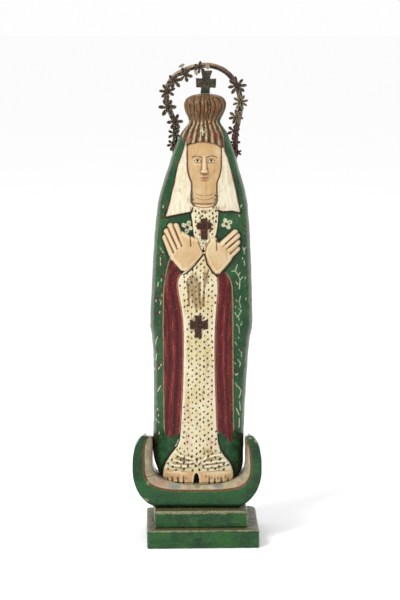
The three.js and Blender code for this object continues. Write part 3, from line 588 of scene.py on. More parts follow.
class Front:
    """The figure's front as a grid of (x, z), with the distances that the carving and the paint use."""

    def __init__(self, x, z):
        self.x, self.z = x, z
        self.rows = z[:, 0]
        self.red = nearest_outline(REDS, x, z, 1)
        self.lower = nearest_outline(LOWERS, x, z, 1)
        self.robe = nearest_outline([ROBE], x, z, 1)
        self.hollow = nearest_outline([face_opening()], x, z, 1)
        self.veil = np.maximum(nearest_outline(VEILS, x, z), -self.hollow)
        self.crown = nearest_outline([CROWN_ZONE], x, z)
        self.band = nearest_outline([CROWN_BAND], x, z)
        self.cross = nearest_outline(CROSSES, x, z)
        self.groove = self.flutes()
        self.on_rim = ((x < LEFT_RIM_X) | (x > RIGHT_RIM_X)) & (z > RIM_BOTTOM)
        self.hands = np.full(x.shape, 1e3)
        self.cuffs = np.full(x.shape, 1e3)
        self.gaps = np.full(x.shape, 1e3)
        self.hand_height = np.zeros(x.shape)
        for hand in HANDS:
            self.add_hand(hand)

    def add_hand(self, hand):
        x, z = self.x, self.z
        palm = nearest_outline([hand["palm"]], x, z, 1)
        height = HAND_HEIGHT * plateau(palm, 3)
        outer = palm
        bars = [(tip, root, FINGER_RADIUS) for tip, root in hand["fingers"]]
        bars.append((*hand["thumb"], THUMB_RADIUS))
        for tip, root, radius in bars:
            distance = stretch_distance(tip, root, x, z)
            bar = np.sqrt(np.clip(1 - (distance / radius) ** 2, 0, 1))
            height = np.maximum(height, HAND_HEIGHT * bar)
            outer = np.minimum(outer, distance - radius)
        gaps = np.minimum.reduce([stretch_distance(tip, root, x, z) for tip, root in hand["gaps"]])
        thumb_gap = stretch_distance(*hand["thumb_gap"], x, z)
        cut = FINGER_GAP_DEPTH * ridge_line(gaps, 2.0) + 1.6 * ridge_line(thumb_gap, 1.8)
        self.hand_height = np.maximum(self.hand_height, np.maximum(height - cut * (outer < 0), 0))
        self.gaps = np.minimum.reduce([self.gaps, gaps, thumb_gap])
        self.hands = np.minimum(self.hands, outer)
        self.cuffs = np.minimum(self.cuffs, line_distance(hand["cuff"], x, z))

    def flutes(self):
        """Gouge cuts down the red panels, as 0 on a ridge to 1 in a groove."""
        away = self.robe + 0.8 * np.sin(self.z / 37) + 0.4 * np.sin(self.z / 13)
        return np.where(self.x < 0, left_groove(away), right_groove(away))

    def relief(self):
        """Height of the carving above the plain front surface."""
        x, z = self.x, self.z
        panel = plateau(np.maximum(self.red, -self.robe - 0.3), 1.1)
        height = -panel * (2.0 + 3.0 * self.groove)
        height += 1.5 * ridge_line(self.red - 1.9, 2.2) * self.on_rim
        height -= 4.6 * plateau(np.maximum(self.lower, -self.robe), 1.4) * (1 - panel)
        height += self.robe_relief()
        height += self.veil_relief()
        front = np.maximum(face_relief(x, z), neck_relief(x, z))
        below_crown = np.maximum(self.hollow, -self.crown)
        height += plateau(below_crown, 1.6) * (front - 9.5) * smoothstep(504, 514, z)
        height += self.neckband()
        height += 3.4 * plateau(self.band, 1.2) * (1 - smoothstep(606, 630, z)) + self.band_flutes()
        height += 1.5 * plateau(self.cross, 0.7)
        height = np.maximum(height, self.hand_height)
        height -= 1.5 * ridge_line(self.cuffs, 1.6) * (self.hands > -1)
        height += 2.6 * bump_at(x, z, *KNOB, 4.4, 4.4) - 1.4 * bump_at(x, z, *KNOB, 1.7, 1.7)
        overhang = np.where(z < TOE_TOP, 2.0 * plateau(self.robe, 1.1), 0)
        height = np.maximum(height, feet_relief(x, z) + overhang)
        return height - 9 * bump_at(x, z, *FEET_NOTCH)

    def robe_relief(self):
        x, z = self.x, self.z
        body = plateau(self.robe, 1.3)
        ridges = np.zeros_like(x)
        for fold in HEM_FOLDS:
            ridges = np.maximum(ridges, 2.3 * ridge_line(line_distance(fold, x, z), 2.9))
        hem = 2.2 * (1 - smoothstep(118, 152, z))
        folds = 0.5 * np.sin(x / 2.3 + 0.9 * np.sin(z / 31)) * smoothstep(135, 175, z) * (1 - smoothstep(390, 420, z))
        pinch = self.pinches()
        rounded = 1.2 * np.clip(1 - ((x + 5) / 30) ** 2, 0, 1)
        return body * (3 + hem + folds + rounded - 1.1 * pinch + ridges * (z > TOE_TOP - 6))

    def pinches(self):
        """Folds that run down from under the crossed wrists."""
        reach = np.minimum.reduce([line_distance(fold, self.x, self.z) for fold in PINCH_FOLDS])
        return ridge_line(reach, 2.6)

    def veil_relief(self):
        wave = np.sin((np.abs(self.x - FACE_X) - 0.126 * (590 - self.z)) / 2.1)
        carved = 3.0 * plateau(self.veil, 0.9) + 0.3 * wave * plateau(self.veil + 2, 1.5)
        return carved - 1.2 * ridge_line(self.veil - 0.9, 1.4) * (self.hollow > 0)

    def neckband(self):
        arc = self.z - 508 - 0.012 * (self.x - FACE_X) ** 2
        inside = plateau(np.abs(self.x - FACE_X) - 17, 1.5)
        return 1.1 * inside * (ridge_line(arc, 1.6) + ridge_line(arc + 4.4, 1.6))

    def band_share(self):
        return (self.x - axis_x(self.z)) / half_width_at(self.z)

    def band_flutes(self):
        wave = np.abs(np.sin(self.band_share() * 11 + 0.4 * np.sin(self.z / 9)))
        return -1.4 * (1 - wave) * plateau(self.band, 1.0) * smoothstep(598, 603, self.z)

    def draw(self, field, points, radius):
        """Lowers a stored distance along a painted stroke of (x, z) points."""
        points = np.array(points, float).reshape(-1, 2)
        reach = radius + 5
        low = np.searchsorted(self.rows, points[:, 1].min() - reach)
        high = np.searchsorted(self.rows, points[:, 1].max() + reach)
        near = slice(low, high)
        distance = line_distance(points, self.x[near], self.z[near]) - radius
        field[near] = np.minimum(field[near], distance)


FAR = 9.0
BAND_DEPTH = -24
BREAST_DEPTH = -38
PINCH_FOLDS = [stroke_from_photo(pixels, BREAST_DEPTH - 4) for pixels in (
    [(190, 277), (193, 284), (195.5, 296), (196.5, 312)],
    [(207.5, 273), (205, 282), (203.8, 293), (203.5, 305)],
    [(187, 282), (188.5, 292), (189, 306)],
    [(199.5, 284), (199, 300)],
)]

# Brush marks on the mantle's side bands, by the photograph's pixels: pale stems and leaves, then red dabs
PALE_MARKS = [
    [(163.4, 205.7), (163, 208)], [(160, 247.5), (163.4, 252.5)], [(160.3, 257.4), (160.7, 265.4)],
    [(161.5, 278.8), (161.2, 281)], [(158.4, 282.2), (157.6, 286.8)], [(161.9, 294), (162, 296)],
    [(158.4, 297.9), (161.5, 301.3), (160.3, 304.4)], [(156.1, 300.2), (156.4, 302)], [(160, 311), (159.5, 313)],
    [(157.6, 336.8), (156.2, 341), (155.7, 344.9)], [(156.5, 354.4), (155.7, 361.3)], [(161.5, 364), (158.4, 369.4)],
    [(154.2, 369.4), (154.6, 371)], [(160.7, 385.7), (157.6, 391.9)], [(157.4, 409.1), (158, 411)],
    [(158.6, 414.8), (158.3, 416.5)], [(156.1, 419.8), (156.6, 421.5)], [(158.4, 421.7), (158.8, 423.4)],
    [(159.2, 432), (159, 434.5)], [(178.2, 438.5), (177.2, 442), (175.4, 444.8)],
    [(241.9, 205), (241, 207)], [(238.9, 214.9), (239.6, 216.5)], [(242.7, 247.5), (244.2, 250.2), (245.8, 247.6)],
    [(244.2, 250.2), (244.6, 254)], [(242.3, 257.5), (242.8, 259)], [(244.2, 260.8), (244.6, 265.4)],
    [(237.3, 264.2), (235.2, 270.3)], [(231.6, 270.3), (235.2, 270.3), (238.5, 274.9), (240, 279.9), (239.2, 288.4)],
    [(238.5, 274.9), (240, 272.2)], [(242.7, 276.5), (240, 279.9)], [(235.8, 280.7), (237.7, 283.8)],
    [(245.4, 276.8), (245.2, 279)], [(246.1, 297.9), (245.9, 300)],
    [(240.6, 295.6), (238.9, 301), (240.8, 307.1)], [(235.4, 298.7), (237, 301)],
    [(238.5, 308.3), (241.2, 310.2), (238.1, 315.9), (239.2, 319.8)], [(235, 305.6), (235.6, 307)],
    [(235, 311.7), (237, 316.3)], [(241.9, 321.1), (240.8, 325)], [(236.6, 323.4), (238.9, 326.5), (239.4, 333)],
    [(238.5, 336.5), (238.6, 338)], [(235, 341.4), (237, 344.5)], [(239.2, 349.1), (241.6, 352.5), (241.5, 356.8)],
    [(232.7, 361), (235.8, 363.3)], [(237.7, 359), (240.4, 362.9), (239.6, 366.7)],
    [(234.3, 372.5), (236.2, 374.8), (238, 373)], [(235.4, 382.3), (237.3, 386.5)],
    [(238.5, 386.5), (241.2, 391.5), (238.9, 398.4)], [(239.6, 401.5), (240.4, 410.7)],
    [(236.2, 408), (239.2, 415.3)], [(239.2, 418.3), (239.4, 423), (239.2, 427.9)],
]
RED_MARKS = [
    (160.7, 253.6), (161.9, 262), (161.9, 275.7), (158.4, 298.2), (157.6, 314), (155.3, 324.2), (157.3, 350.6),
    (159, 365.2), (161.9, 217.6), (245, 226.4), (241.2, 350.2), (235.4, 370.2),
]
MARK_RADIUS = 0.5
RED_MARK_RADIUS = 1.4

# Chest flowers: (middle, its radius, petals), in the photograph's pixels
CHEST_FLOWERS = [
    ((187.3, 227.4), 2.4, [(188.9, 222.8), (183.4, 225.2), (190.6, 228.3), (186.7, 231.6)]),
    ((226.3, 224.4), 2.0, [(225.3, 220.5), (230.3, 222.4), (228.4, 227.5), (223.5, 225.2)]),
]
PETAL_RADIUS = 2.9


def paint_flowers(front, fields):
    for middle, radius, petals in CHEST_FLOWERS:
        centre = from_photo(*middle, BREAST_DEPTH)
        for petal in petals:
            x, z = from_photo(*petal, BREAST_DEPTH)
            front.draw(fields["pale"], [(x, z), (0.75 * x + 0.25 * centre[0], 0.75 * z + 0.25 * centre[1])], PETAL_RADIUS)
        front.draw(fields["ruby"], [centre], radius)


def paint_knob(front, fields):
    x, z = KNOB
    for petal in range(6):
        angle = 2 * math.pi * petal / 6 + 0.3
        front.draw(fields["pale"], [(x + 3.4 * math.cos(angle), z + 3.4 * math.sin(angle))], 1.4)
    front.draw(fields["ink"], [KNOB], 1.1)
    front.draw(fields["ink"], [(1.8, 442.5), (2.2, 441.5)], 1.9)


def paint_marks(front, fields):
    for mark in PALE_MARKS:
        front.draw(fields["pale"], stroke_from_photo(mark, BAND_DEPTH), MARK_RADIUS)
    for px, py in RED_MARKS:
        x, z = from_photo(px, py, BAND_DEPTH)
        front.draw(fields["ruby"], [(x - 0.8, z + 0.8), (x + 0.6, z - 1)], RED_MARK_RADIUS)
    star_x, star_z = 0.8, 617
    for dx, dz in ((0.2, 5), (2.8, 1)):
        front.draw(fields["pale"], [(star_x - dx, star_z + dz), (star_x + dx, star_z - dz)], 0.8)


def arc(centre_x, centre_z, half, rise, steps=7):
    """Points of a shallow arch."""
    share = np.linspace(-1, 1, steps)
    return [(centre_x + half * s, centre_z + rise * (1 - s * s)) for s in share]


def paint_face(front, fields):
    for side in (-1, 1):
        eye = FACE_X + side * EYE_APART
        front.draw(fields["ink"], arc(eye + side * 0.5, BROW_Z - 0.4, EYE_HALF + 2.4, 2.4), 0.55)
        front.draw(fields["ink"], arc(eye, EYE_Z - 0.4, EYE_HALF, 2.4), 0.4)
        front.draw(fields["ink"], [(eye, EYE_Z + 0.1)], 1.6)
        front.draw(fields["line"], arc(eye, EYE_Z - 0.8, EYE_HALF - 0.4, -1.5), 0.2)
        front.draw(fields["white"], [(eye - 2.3, EYE_Z - 0.2), (eye + 2.3, EYE_Z - 0.2)], 1.4)
        front.draw(fields["ink"], [(FACE_X + side * 2.4, NOSE_Z - 0.5)], 0.5)
    front.draw(fields["lip"], arc(FACE_X, MOUTH_Z + 0.9, 4.4, 0.5), 0.95)
    front.draw(fields["lip"], arc(FACE_X, MOUTH_Z - 1.2, 3.4, -0.6), 0.95)
    front.draw(fields["line"], arc(FACE_X, MOUTH_Z, 5.6, -0.3), 0.25)
    for level in NECK_FOLDS:
        front.draw(fields["line"], arc(FACE_X, level + 3.6, 13, -3.4), 0.35)


# Nails and blushes on the toes, by the photograph's pixels
NAILS = [(186.2, 479), (177, 479.5), (171, 479), (206.2, 477.2), (211.6, 478.6), (218, 479), (225.4, 478)]


def paint_toes(front, fields):
    for nail in NAILS:
        x, z = from_photo(*nail, FEET_DEPTH)
        front.draw(fields["lip"], [(x, z - 1), (x, z + 1.2)], 1.5)
    for line_x, top in toe_lines():
        front.draw(fields["line"], [(line_x, 88), (line_x, top - 1)], 0.35)
        # A dark dab at the foot of each cut between the toes: painted shade.
        front.draw(fields["ink"], [(line_x, 87), (line_x, 92.5)], 0.9)


DOT_ROW = 4.7
DOT_COLUMN = 11.8
DOT_JITTER = (1.1, 1.5)
DOT_RADIUS = (0.85, 1.35)
DOT_MARGIN = 2.0
CHEST_Z = 448
HEM_Z = 134


def paint_dots(front, fields):
    """Slanting brown dabs in loose upright rows over the robe."""
    chance = random.Random(7)
    outline = cut_corners(ROBE)
    row = 0
    z = 112.0
    while z < 508:
        tighter = 0.82 if z > CHEST_Z else 1.0
        larger = 0.3 if z < HEM_Z else 0.0
        x = -62 + (row % 2) * DOT_COLUMN * tighter / 2
        while x < 52:
            dot_x = x + chance.uniform(-1, 1) * DOT_JITTER[0]
            dot_z = z + chance.uniform(-1, 1) * DOT_JITTER[1]
            radius = chance.uniform(*DOT_RADIUS) + larger
            tail = (dot_x + chance.uniform(-0.7, 1.1), dot_z + chance.uniform(0.6, 2.0))
            x += DOT_COLUMN * tighter
            if outline_distance(outline, np.array([dot_x]), np.array([dot_z]))[0] < -DOT_MARGIN:
                front.draw(fields["dots"], [(dot_x, dot_z), tail], radius)
        z += DOT_ROW * tighter
        row += 1
    fields["dots"] = np.where(front.hands < 1.2, FAR, fields["dots"])


LACE = [[(-17.8, 531), (-18, 511), (-11.5, 509), (-12.5, 529)], [(16.4, 509), (23.9, 511), (24.4, 531), (19, 529)]]
VEIL_HEM_Z = 503


def paint_lines(front, fields):
    """Brown and black lines along the carved edges. The line under the veil's hem, the finger cuts, the notch between
    the feet and the line along the figure's foot are painted shade.
    """
    x, z = front.x, front.z
    outer = (np.abs(x - FACE_X) > 21 + 0.3 * (560 - z)) | (z < VEIL_HEM_Z)
    fields["worn"] = np.where(outer, np.abs(front.veil - 0.5) - 0.8, FAR)
    # A dark line just below the veil's lower edge: painted shadow under the veil.
    hem = np.where(z < VEIL_HEM_Z - 1, np.abs(front.veil - 1.6) - 1.1, FAR)
    face_side = np.where((z > 508) & (z < 590), np.abs(front.hollow + 0.5) - 1.0, FAR)
    collar = z - 508 - 0.012 * (x - FACE_X) ** 2
    collar = np.minimum(np.abs(collar - 1.8), np.abs(collar + 2.2)) - 0.4
    collar = np.where(np.abs(x - FACE_X) < 17, collar, FAR)
    robe_edge = np.where((z < 508) & (z > 168), np.abs(front.robe - 0.4) - 0.5, FAR)
    robe_edge = np.where(front.hands < 1, FAR, robe_edge)
    fields["line"] = np.minimum.reduce([fields["line"], face_side, collar, robe_edge])
    fields["rim"] = np.where(front.on_rim, np.abs(front.red - 1.4) - 0.7, FAR)
    shadow = np.where(front.on_rim, np.abs(front.red - 2.9) - 0.5, FAR)
    cuffs = np.where(front.hands > -1.2, front.cuffs - 1.0, FAR)
    around_cross = np.abs(front.cross - 0.2) - 0.3
    # The notch between the feet, filled near-black: painted shade. The line along the figure's foot, just above where
    # it rests: painted shade.
    notch = np.where(bump_at(x, z, *FEET_NOTCH) > 0.15, -1.5, FAR)
    sole = np.where(z < 96, np.abs(z - 91) - 0.6, FAR)
    fields["ink"] = np.minimum.reduce([fields["ink"], cuffs, notch, hem, shadow, around_cross, sole])
    # The cuts between the fingers and beside the thumbs, painted dark: painted shade.
    fields["fingers"] = np.where(front.hands < 0.4, front.gaps - 0.7, FAR)
    fields["lace"] = nearest_outline(LACE, x, z, 1)


def smudge(x, z, spots):
    """Soft patches, each (x, z, radius x, radius z), as 0 to 1."""
    return np.clip(sum(soft_bump(x, z, *spot) for spot in spots), 0, 1)


CROWN_TINTS = [(18.5, 651, 5, 9), (1, 650, 3, 9), (-17, 606, 9, 6), (21, 611, 8, 11), (10, 628, 6, 4)]
# Brown patches on the robe: real discolouring, and painted shade under the hands and the veil and in the hem's folds
ROBE_STAINS_AND_SHADE = [
    (-5, 365, 15, 22), (-9, 396, 9, 24), (6, 402, 8, 20), (-18, 388, 8, 22), (-3, 330, 10, 12), (8, 140, 14, 9),
    (-30, 128, 12, 9), (-8, 121, 8, 9), (4, 500, 10, 6),
]
PINK_SPOTS = [(2, 470, 16, 14), (-20, 150, 8, 22), (14, 152, 8, 16), (-24, 200, 6, 40), (14, 240, 6, 46)]


def box_blur(field, reach):
    """The field averaged over a square of grid cells."""
    for axis in (0, 1):
        padded = np.concatenate([np.repeat(np.take(field, [0], axis), reach + 1, axis), field,
                                 np.repeat(np.take(field, [-1], axis), reach, axis)], axis)
        total = np.cumsum(padded, axis)
        size = field.shape[axis]
        ends = np.take(total, np.arange(2 * reach + 1, 2 * reach + 1 + size), axis)
        starts = np.take(total, np.arange(0, size), axis)
        field = (ends - starts) / (2 * reach + 1)
    return field


DOME_GROOVES = 26
DOME_LOBES = 12
LOBE_DEPTH = 1.2
GROOVE_DEPTH = 1.9


def dome_cuts(angle, z):
    """The crown's upright cuts, 0 to 1, between its narrow neck and its top."""
    warped = angle + 0.09 * np.sin(5 * angle + 1) + 0.04 * np.sin(z / 5)
    cuts = np.clip(1 - 1.7 * np.abs(np.sin(DOME_GROOVES / 2 * warped)), 0, 1)
    return cuts * smoothstep(629, 638, z) * (1 - smoothstep(665, 671, z))


def dome_lobes(angle, z):
    lobes = 1 - np.abs(np.cos(DOME_LOBES / 2 * angle)) ** 0.7
    return lobes * smoothstep(629, 640, z) * (1 - smoothstep(664, 671, z))


def hollow_floor(x, y):
    """The height of the moon's hollow under (x, y)."""
    oval = hollow_at(y)
    share = np.minimum(0.995, np.abs(x - oval[0]) / oval[2])
    return oval[1] - oval[3] * (1 - share ** oval[4]) ** (1 / oval[4])


NEST_GAP = 0.7
UNDERSIDE_SHARES = (0.3, 0.6, 0.85)
SIDE_FADE = 0.35
TOOL_MARKS = 0.4


def nested(points):
    """Heights that follow the moon's hollow under the figure."""
    x, y, z = points[..., 0], points[..., 1], points[..., 2]
    floor = hollow_floor(x, np.maximum(y, MOON_FRONT)) + NEST_GAP
    return np.where(y > MOON_BACK, z, np.maximum(z, floor))


def figure_mesh(material):
    rows = figure_rows()
    parts = [(half_width_at(z), front_depth_at(z), back_depth_at(z), squareness_at(z)) for z in rows]
    front = np.array([even_section(w, d, p, FRONT_COLUMNS, MIDDLE_DENSITY) for w, d, _, p in parts])
    back = np.array([even_section(w, d, p, BACK_COLUMNS, 0) for w, _, d, p in parts])
    centre = axis_x(rows)[:, None]
    half = half_width_at(rows)[:, None]
    grid = Front(centre + front[:, 0], np.repeat(rows[:, None], FRONT_COLUMNS, 1))
    fade = smoothstep(0, SIDE_FADE, front[:, 1] / front_depth_at(rows)[:, None])
    relief = grid.relief() * fade
    x = np.concatenate([front[:, 0], -back[:, 0]], 1)
    y = np.concatenate([-front[:, 1] - relief, back[:, 1]], 1)
    z = np.repeat(rows[:, None], FRONT_COLUMNS + BACK_COLUMNS, 1)
    angle = np.arctan2(y, x)
    cuts = dome_cuts(angle, z)
    cuts[:, FRONT_COLUMNS:] = 0
    shrink = 1 - (GROOVE_DEPTH * cuts + LOBE_DEPTH * dome_lobes(angle, z)) / half
    points = np.stack([centre + x * shrink, AXIS_Y + y * shrink, z], -1)
    lumps = rough(points, 16, 1) + 0.5 * rough(points, 7, 2)
    outward = np.stack([x, y], -1) / np.maximum(np.hypot(x, y), 1)[..., None]
    calm = np.ones(z.shape)
    calm[:, :FRONT_COLUMNS] -= 0.75 * plateau(grid.hollow, 2) + 0.6 * plateau(grid.hands, 2)
    points[..., :2] += outward * (TOOL_MARKS * lumps * np.clip(calm, 0, 1))[..., None]
    points[..., 2] = nested(points)
    fields = front_fields(grid, relief)
    fields = {name: with_back(name, field) for name, field in fields.items()}
    fields.update(round_fields(grid, cuts, x, y, z, half))
    return assemble_figure(points, fields, material)


MASKS = ("edge", "ridge", "groove", "soil", "tint", "stain", "pink", "band_line")


def with_back(name, field):
    """The front's field carried round the plain back."""
    filler = np.full((len(field), BACK_COLUMNS), 0.0 if name in MASKS else FAR)
    return np.concatenate([np.clip(field, -FAR, FAR), filler], 1)


def front_fields(grid, relief):
    """The stored distances and masks of the paint on the front."""
    x, z = grid.x, grid.z
    names = ("pale", "ruby", "ink", "line", "dots", "lip", "white")
    fields = {name: np.full(x.shape, FAR) for name in names}
    paint_lines(grid, fields)
    paint_dots(grid, fields)
    paint_marks(grid, fields)
    paint_flowers(grid, fields)
    paint_knob(grid, fields)
    paint_face(grid, fields)
    paint_toes(grid, fields)
    feet = np.where(z < 112, np.maximum(grid.robe, z - 109.5 - 1.5 * np.sin(x / 5)), FAR)
    on_panel = smoothstep(3.5, 1, grid.robe) * (z > 158)
    fields.update(
        red=grid.red - 2.5 * on_panel, lower=grid.lower, robe=grid.robe, veil=grid.veil, cross=grid.cross,
        band=grid.band, skin=np.minimum.reduce([grid.hands, grid.hollow, feet]),
        ridge=(1 - grid.groove) ** 2, groove=grid.groove,
        # the mantle's foot inside the moon: partly dark wood, partly painted shade
        soil=smoothstep(172, 158, z) * smoothstep(-2, 1.5, grid.lower) * (grid.robe > 1),
        # brown patches and the folds from the wrists: real discolouring and painted shade
        tint=smudge(x, z, CROWN_TINTS), stain=smudge(x, z, ROBE_STAINS_AND_SHADE) + grid.pinches(),
        pink=smudge(x, z, PINK_SPOTS), band_line=np.sin(grid.band_share() * 26 + 0.5 * np.sin(z / 9)),
        # the carving's high and low places, for worn paint, painted highlights and painted shade
        edge=np.clip(0.8 * (relief - box_blur(relief, 3)) + 0.15 * (relief - box_blur(relief, 9)), -1, 1),
    )
    return fields


def round_fields(grid, cuts, x, y, z, half):
    """The masks that run all the way round the figure."""
    back_crown = 624 + 0.4 * x - z
    crown = with_back("crown", grid.crown)
    crown[:, FRONT_COLUMNS:] = back_crown[:, FRONT_COLUMNS:]
    side = smoothstep(0.88, 0.97, np.abs(x) / half) * (np.abs(y) < 30) * smoothstep(0, 40, 650 - z)
    return {"crown": np.clip(crown, -FAR, FAR), "side": side, "cut": cuts * (z > 628)}


def assemble_figure(points, fields, material):
    rows, columns = points.shape[:2]
    foot = points[0]
    middle = np.array([axis_x(FIGURE_BOTTOM), AXIS_Y, FIGURE_BOTTOM])
    under = []
    for share in UNDERSIDE_SHARES:
        ring = middle + share * (foot - middle)
        ring[:, 2] = FIGURE_BOTTOM
        ring[:, 2] = nested(ring)
        under.append(ring)
    middle[2] = nested(middle[None])[0]
    top = np.array([axis_x(DOME_TOP), AXIS_Y, DOME_TOP])
    everything = np.concatenate([*under, points.reshape(-1, 3), [middle, top]])
    rings = len(UNDERSIDE_SHARES) + rows
    count = rings * columns
    faces = ring_faces(rings, columns)
    faces += fan(0, columns, count, False) + fan(count - columns, columns, count + 1, True)
    piece = mesh_object("figure_carved", everything, faces, "figure", material)
    for name, field in fields.items():
        under_values = np.tile(field[0], len(UNDERSIDE_SHARES))
        add_values(piece, "p_" + name, np.concatenate([under_values, field.ravel(), [field[0, 0], field[-1, -1]]]))
    return piece


class FigurePaint(Paint):
    """Aged oil paint on carved wood, laid on in the order a painter would, with painted shade in the hollows and
    painted highlights on the high carving.
    """

    def __init__(self):
        super().__init__("figure_paint", roughness=0.5)
        self.fine = self.noise(2.2, 0, 4)
        self.medium = self.noise(9, 3)
        self.broad = self.noise(34, 7, 3, 0.5)
        self.streaks = self.noise(3.2, 11, where=self.stretched(1, 1, 0.14))
        self.wobble = self.centred(self.fine, 1.1)
        # High carving: partly worn paint, partly painted highlight. Hollows: painted shade.
        self.raised_wear_and_highlight = self.add(self.value("p_edge"), self.centred(self.fine, 0.9))
        self.sunk_shade = self.math("SUBTRACT", self.centred(self.medium, 0.7), self.value("p_edge"))

    def green(self):
        color = self.mix(self.step(self.broad, 0.38, 0.62), "1c4526", "275c31")
        color = self.over(color, self.step(self.streaks, 0.54, 0.72), "15301c", 0.8)
        color = self.over(color, self.step(self.medium, 0.54, 0.7), "42492c", 0.7)
        color = self.over(color, self.step(self.noise(5, 41, 4, 0.7), 0.57, 0.68), "5f6b4c", 0.55)
        # A paler grey-green strip down both sides of the mantle.
        pale_side = self.step(self.add(self.value("p_side"), self.centred(self.medium, 1.2)), 0.3, 0.8)
        color = self.over(color, pale_side, self.mix(self.streaks, "4a5742", "8a907c"), 0.8)
        color = self.over(color, self.specks(1.6, 0.655, 23), "a3a183")
        color = self.over(color, self.specks(2.6, 0.64, 29), "191d12")
        # Paler olive on the high carving, partly worn paint and partly painted highlight; near-black in the hollows,
        # painted shade.
        color = self.over(color, self.step(self.raised_wear_and_highlight, 0.35, 0.7), "82805f", 0.85)
        color = self.over(color, self.step(self.sunk_shade, 0.38, 0.75), "12180f", 0.8)
        # Dark brown-black at the mantle's foot inside the moon: partly dark unpainted wood, partly painted shade.
        soil = self.step(self.add(self.value("p_soil"), self.centred(self.medium, 1.3)), 0.35, 0.75)
        return self.over(color, soil, self.mix(self.step(self.fine, 0.4, 0.62), "17130f", "4b4033"), 0.9)

    def red(self):
        color = self.mix(self.step(self.streaks, 0.35, 0.62), "501012", "7a1f1f")
        # Darker down the grooves of the flutes: painted shade.
        dark = self.step(self.add(self.value("p_groove"), self.centred(self.streaks, 0.7)), 0.5, 0.95)
        color = self.over(color, dark, "2c0a0b", 0.75)
        light = self.step(self.add(self.value("p_ridge"), self.centred(self.streaks, 1.1)), 0.62, 1.05)
        color = self.over(color, light, "a65c54", 0.7)
        color = self.over(color, self.step(self.add(self.value("p_robe"), self.wobble), 2.4, 1.2), "c08878", 0.75)
        return self.over(color, self.specks(1.5, 0.67, 31), "c39a88", 0.8)

    def robe(self):
        color = self.mix(self.step(self.broad, 0.35, 0.65), "e9ddba", "dccb9b")
        pink = self.step(self.add(self.value("p_pink"), self.centred(self.medium, 0.8)), 0.25, 0.8)
        color = self.over(color, pink, "e0c4a8", 0.7)
        color = self.over(color, self.step(self.streaks, 0.52, 0.72), "b99c69", 0.75)
        # Brown patches: real discolouring, and painted shade under the hands and veil and down the folds from the
        # wrists.
        stain = self.step(self.add(self.value("p_stain"), self.centred(self.streaks, 1.6)), 0.35, 1.0)
        color = self.over(color, stain, "8f6f41", 0.75)
        # Brown in the hollows: painted shade. Paler on the high carving: painted highlight.
        color = self.over(color, self.step(self.sunk_shade, 0.22, 0.7), "7b5f36", 0.8)
        color = self.over(color, self.step(self.raised_wear_and_highlight, 0.35, 0.75), "f2e9cf", 0.8)
        color = self.over(color, self.specks(1.9, 0.635, 37), "6f5836")
        dots = self.both(self.inside("p_dots", self.wobble, 0.15, 0.3), self.step(self.fine, 0.3, 0.44))
        return self.over(color, dots, self.mix(self.step(self.medium, 0.4, 0.6), "3a2c17", "4c4428"))

    def veil(self):
        color = self.mix(self.step(self.streaks, 0.4, 0.65), "efe6ce", "ded0ab")
        color = self.over(color, self.step(self.medium, 0.52, 0.72), "c9b48d", 0.7)
        color = self.over(color, self.specks(2.2, 0.66, 43), "8d7550", 0.7)
        near_edge = self.step(self.add(self.value("p_veil"), self.centred(self.medium, 3)), -1.4, 0.4)
        return self.over(color, near_edge, "d09c84", 0.75)

    def skin(self):
        color = self.mix(self.step(self.broad, 0.35, 0.65), "dcc197", "cba673")
        color = self.over(color, self.step(self.streaks, 0.5, 0.72), "b88c5b", 0.6)
        # Brown in the hollows: painted shade. Paler on the high carving: painted highlight.
        color = self.over(color, self.step(self.sunk_shade, 0.12, 0.65), "8f6038", 0.8)
        color = self.over(color, self.step(self.raised_wear_and_highlight, 0.2, 0.65), "efdcb4", 0.65)
        color = self.over(color, self.specks(2.0, 0.66, 47), "8a6540", 0.7)
        # Dark brown in the cuts between the fingers: painted shade.
        color = self.over(color, self.inside("p_fingers", self.wobble, 0.0, 0.8), "7d4a2e", 0.85)
        return self.over(color, self.inside("p_white", self.wobble, 0.0, 0.3), "e8dab8")

    def crown(self):
        color = self.mix(self.step(self.streaks, 0.35, 0.62), "52381f", "866440")
        color = self.over(color, self.step(self.fine, 0.54, 0.7), "b39a70", 0.6)
        lines = self.add(self.value("p_band_line"), self.centred(self.streaks, 2.2))
        on_band = self.inside("p_band", self.wobble)
        color = self.over(color, self.both(on_band, self.step(lines, 0.25, 0.9)), "c2ad86", 0.85)
        color = self.over(color, self.both(on_band, self.step(lines, -0.25, -0.9)), "2a1a10", 0.8)
        # Near-black in the dome's carved grooves and in the hollows: painted shade.
        cut = self.add(self.value("p_cut"), self.centred(self.fine, 0.8))
        color = self.over(color, self.step(cut, 0.35, 0.75), "1d110b", 0.95)
        color = self.over(color, self.step(self.sunk_shade, 0.2, 0.65), "24150d", 0.8)
        tint = self.step(self.add(self.value("p_tint"), self.centred(self.fine, 1.6)), 0.45, 0.9)
        return self.over(color, tint, "8a2f18", 0.75)

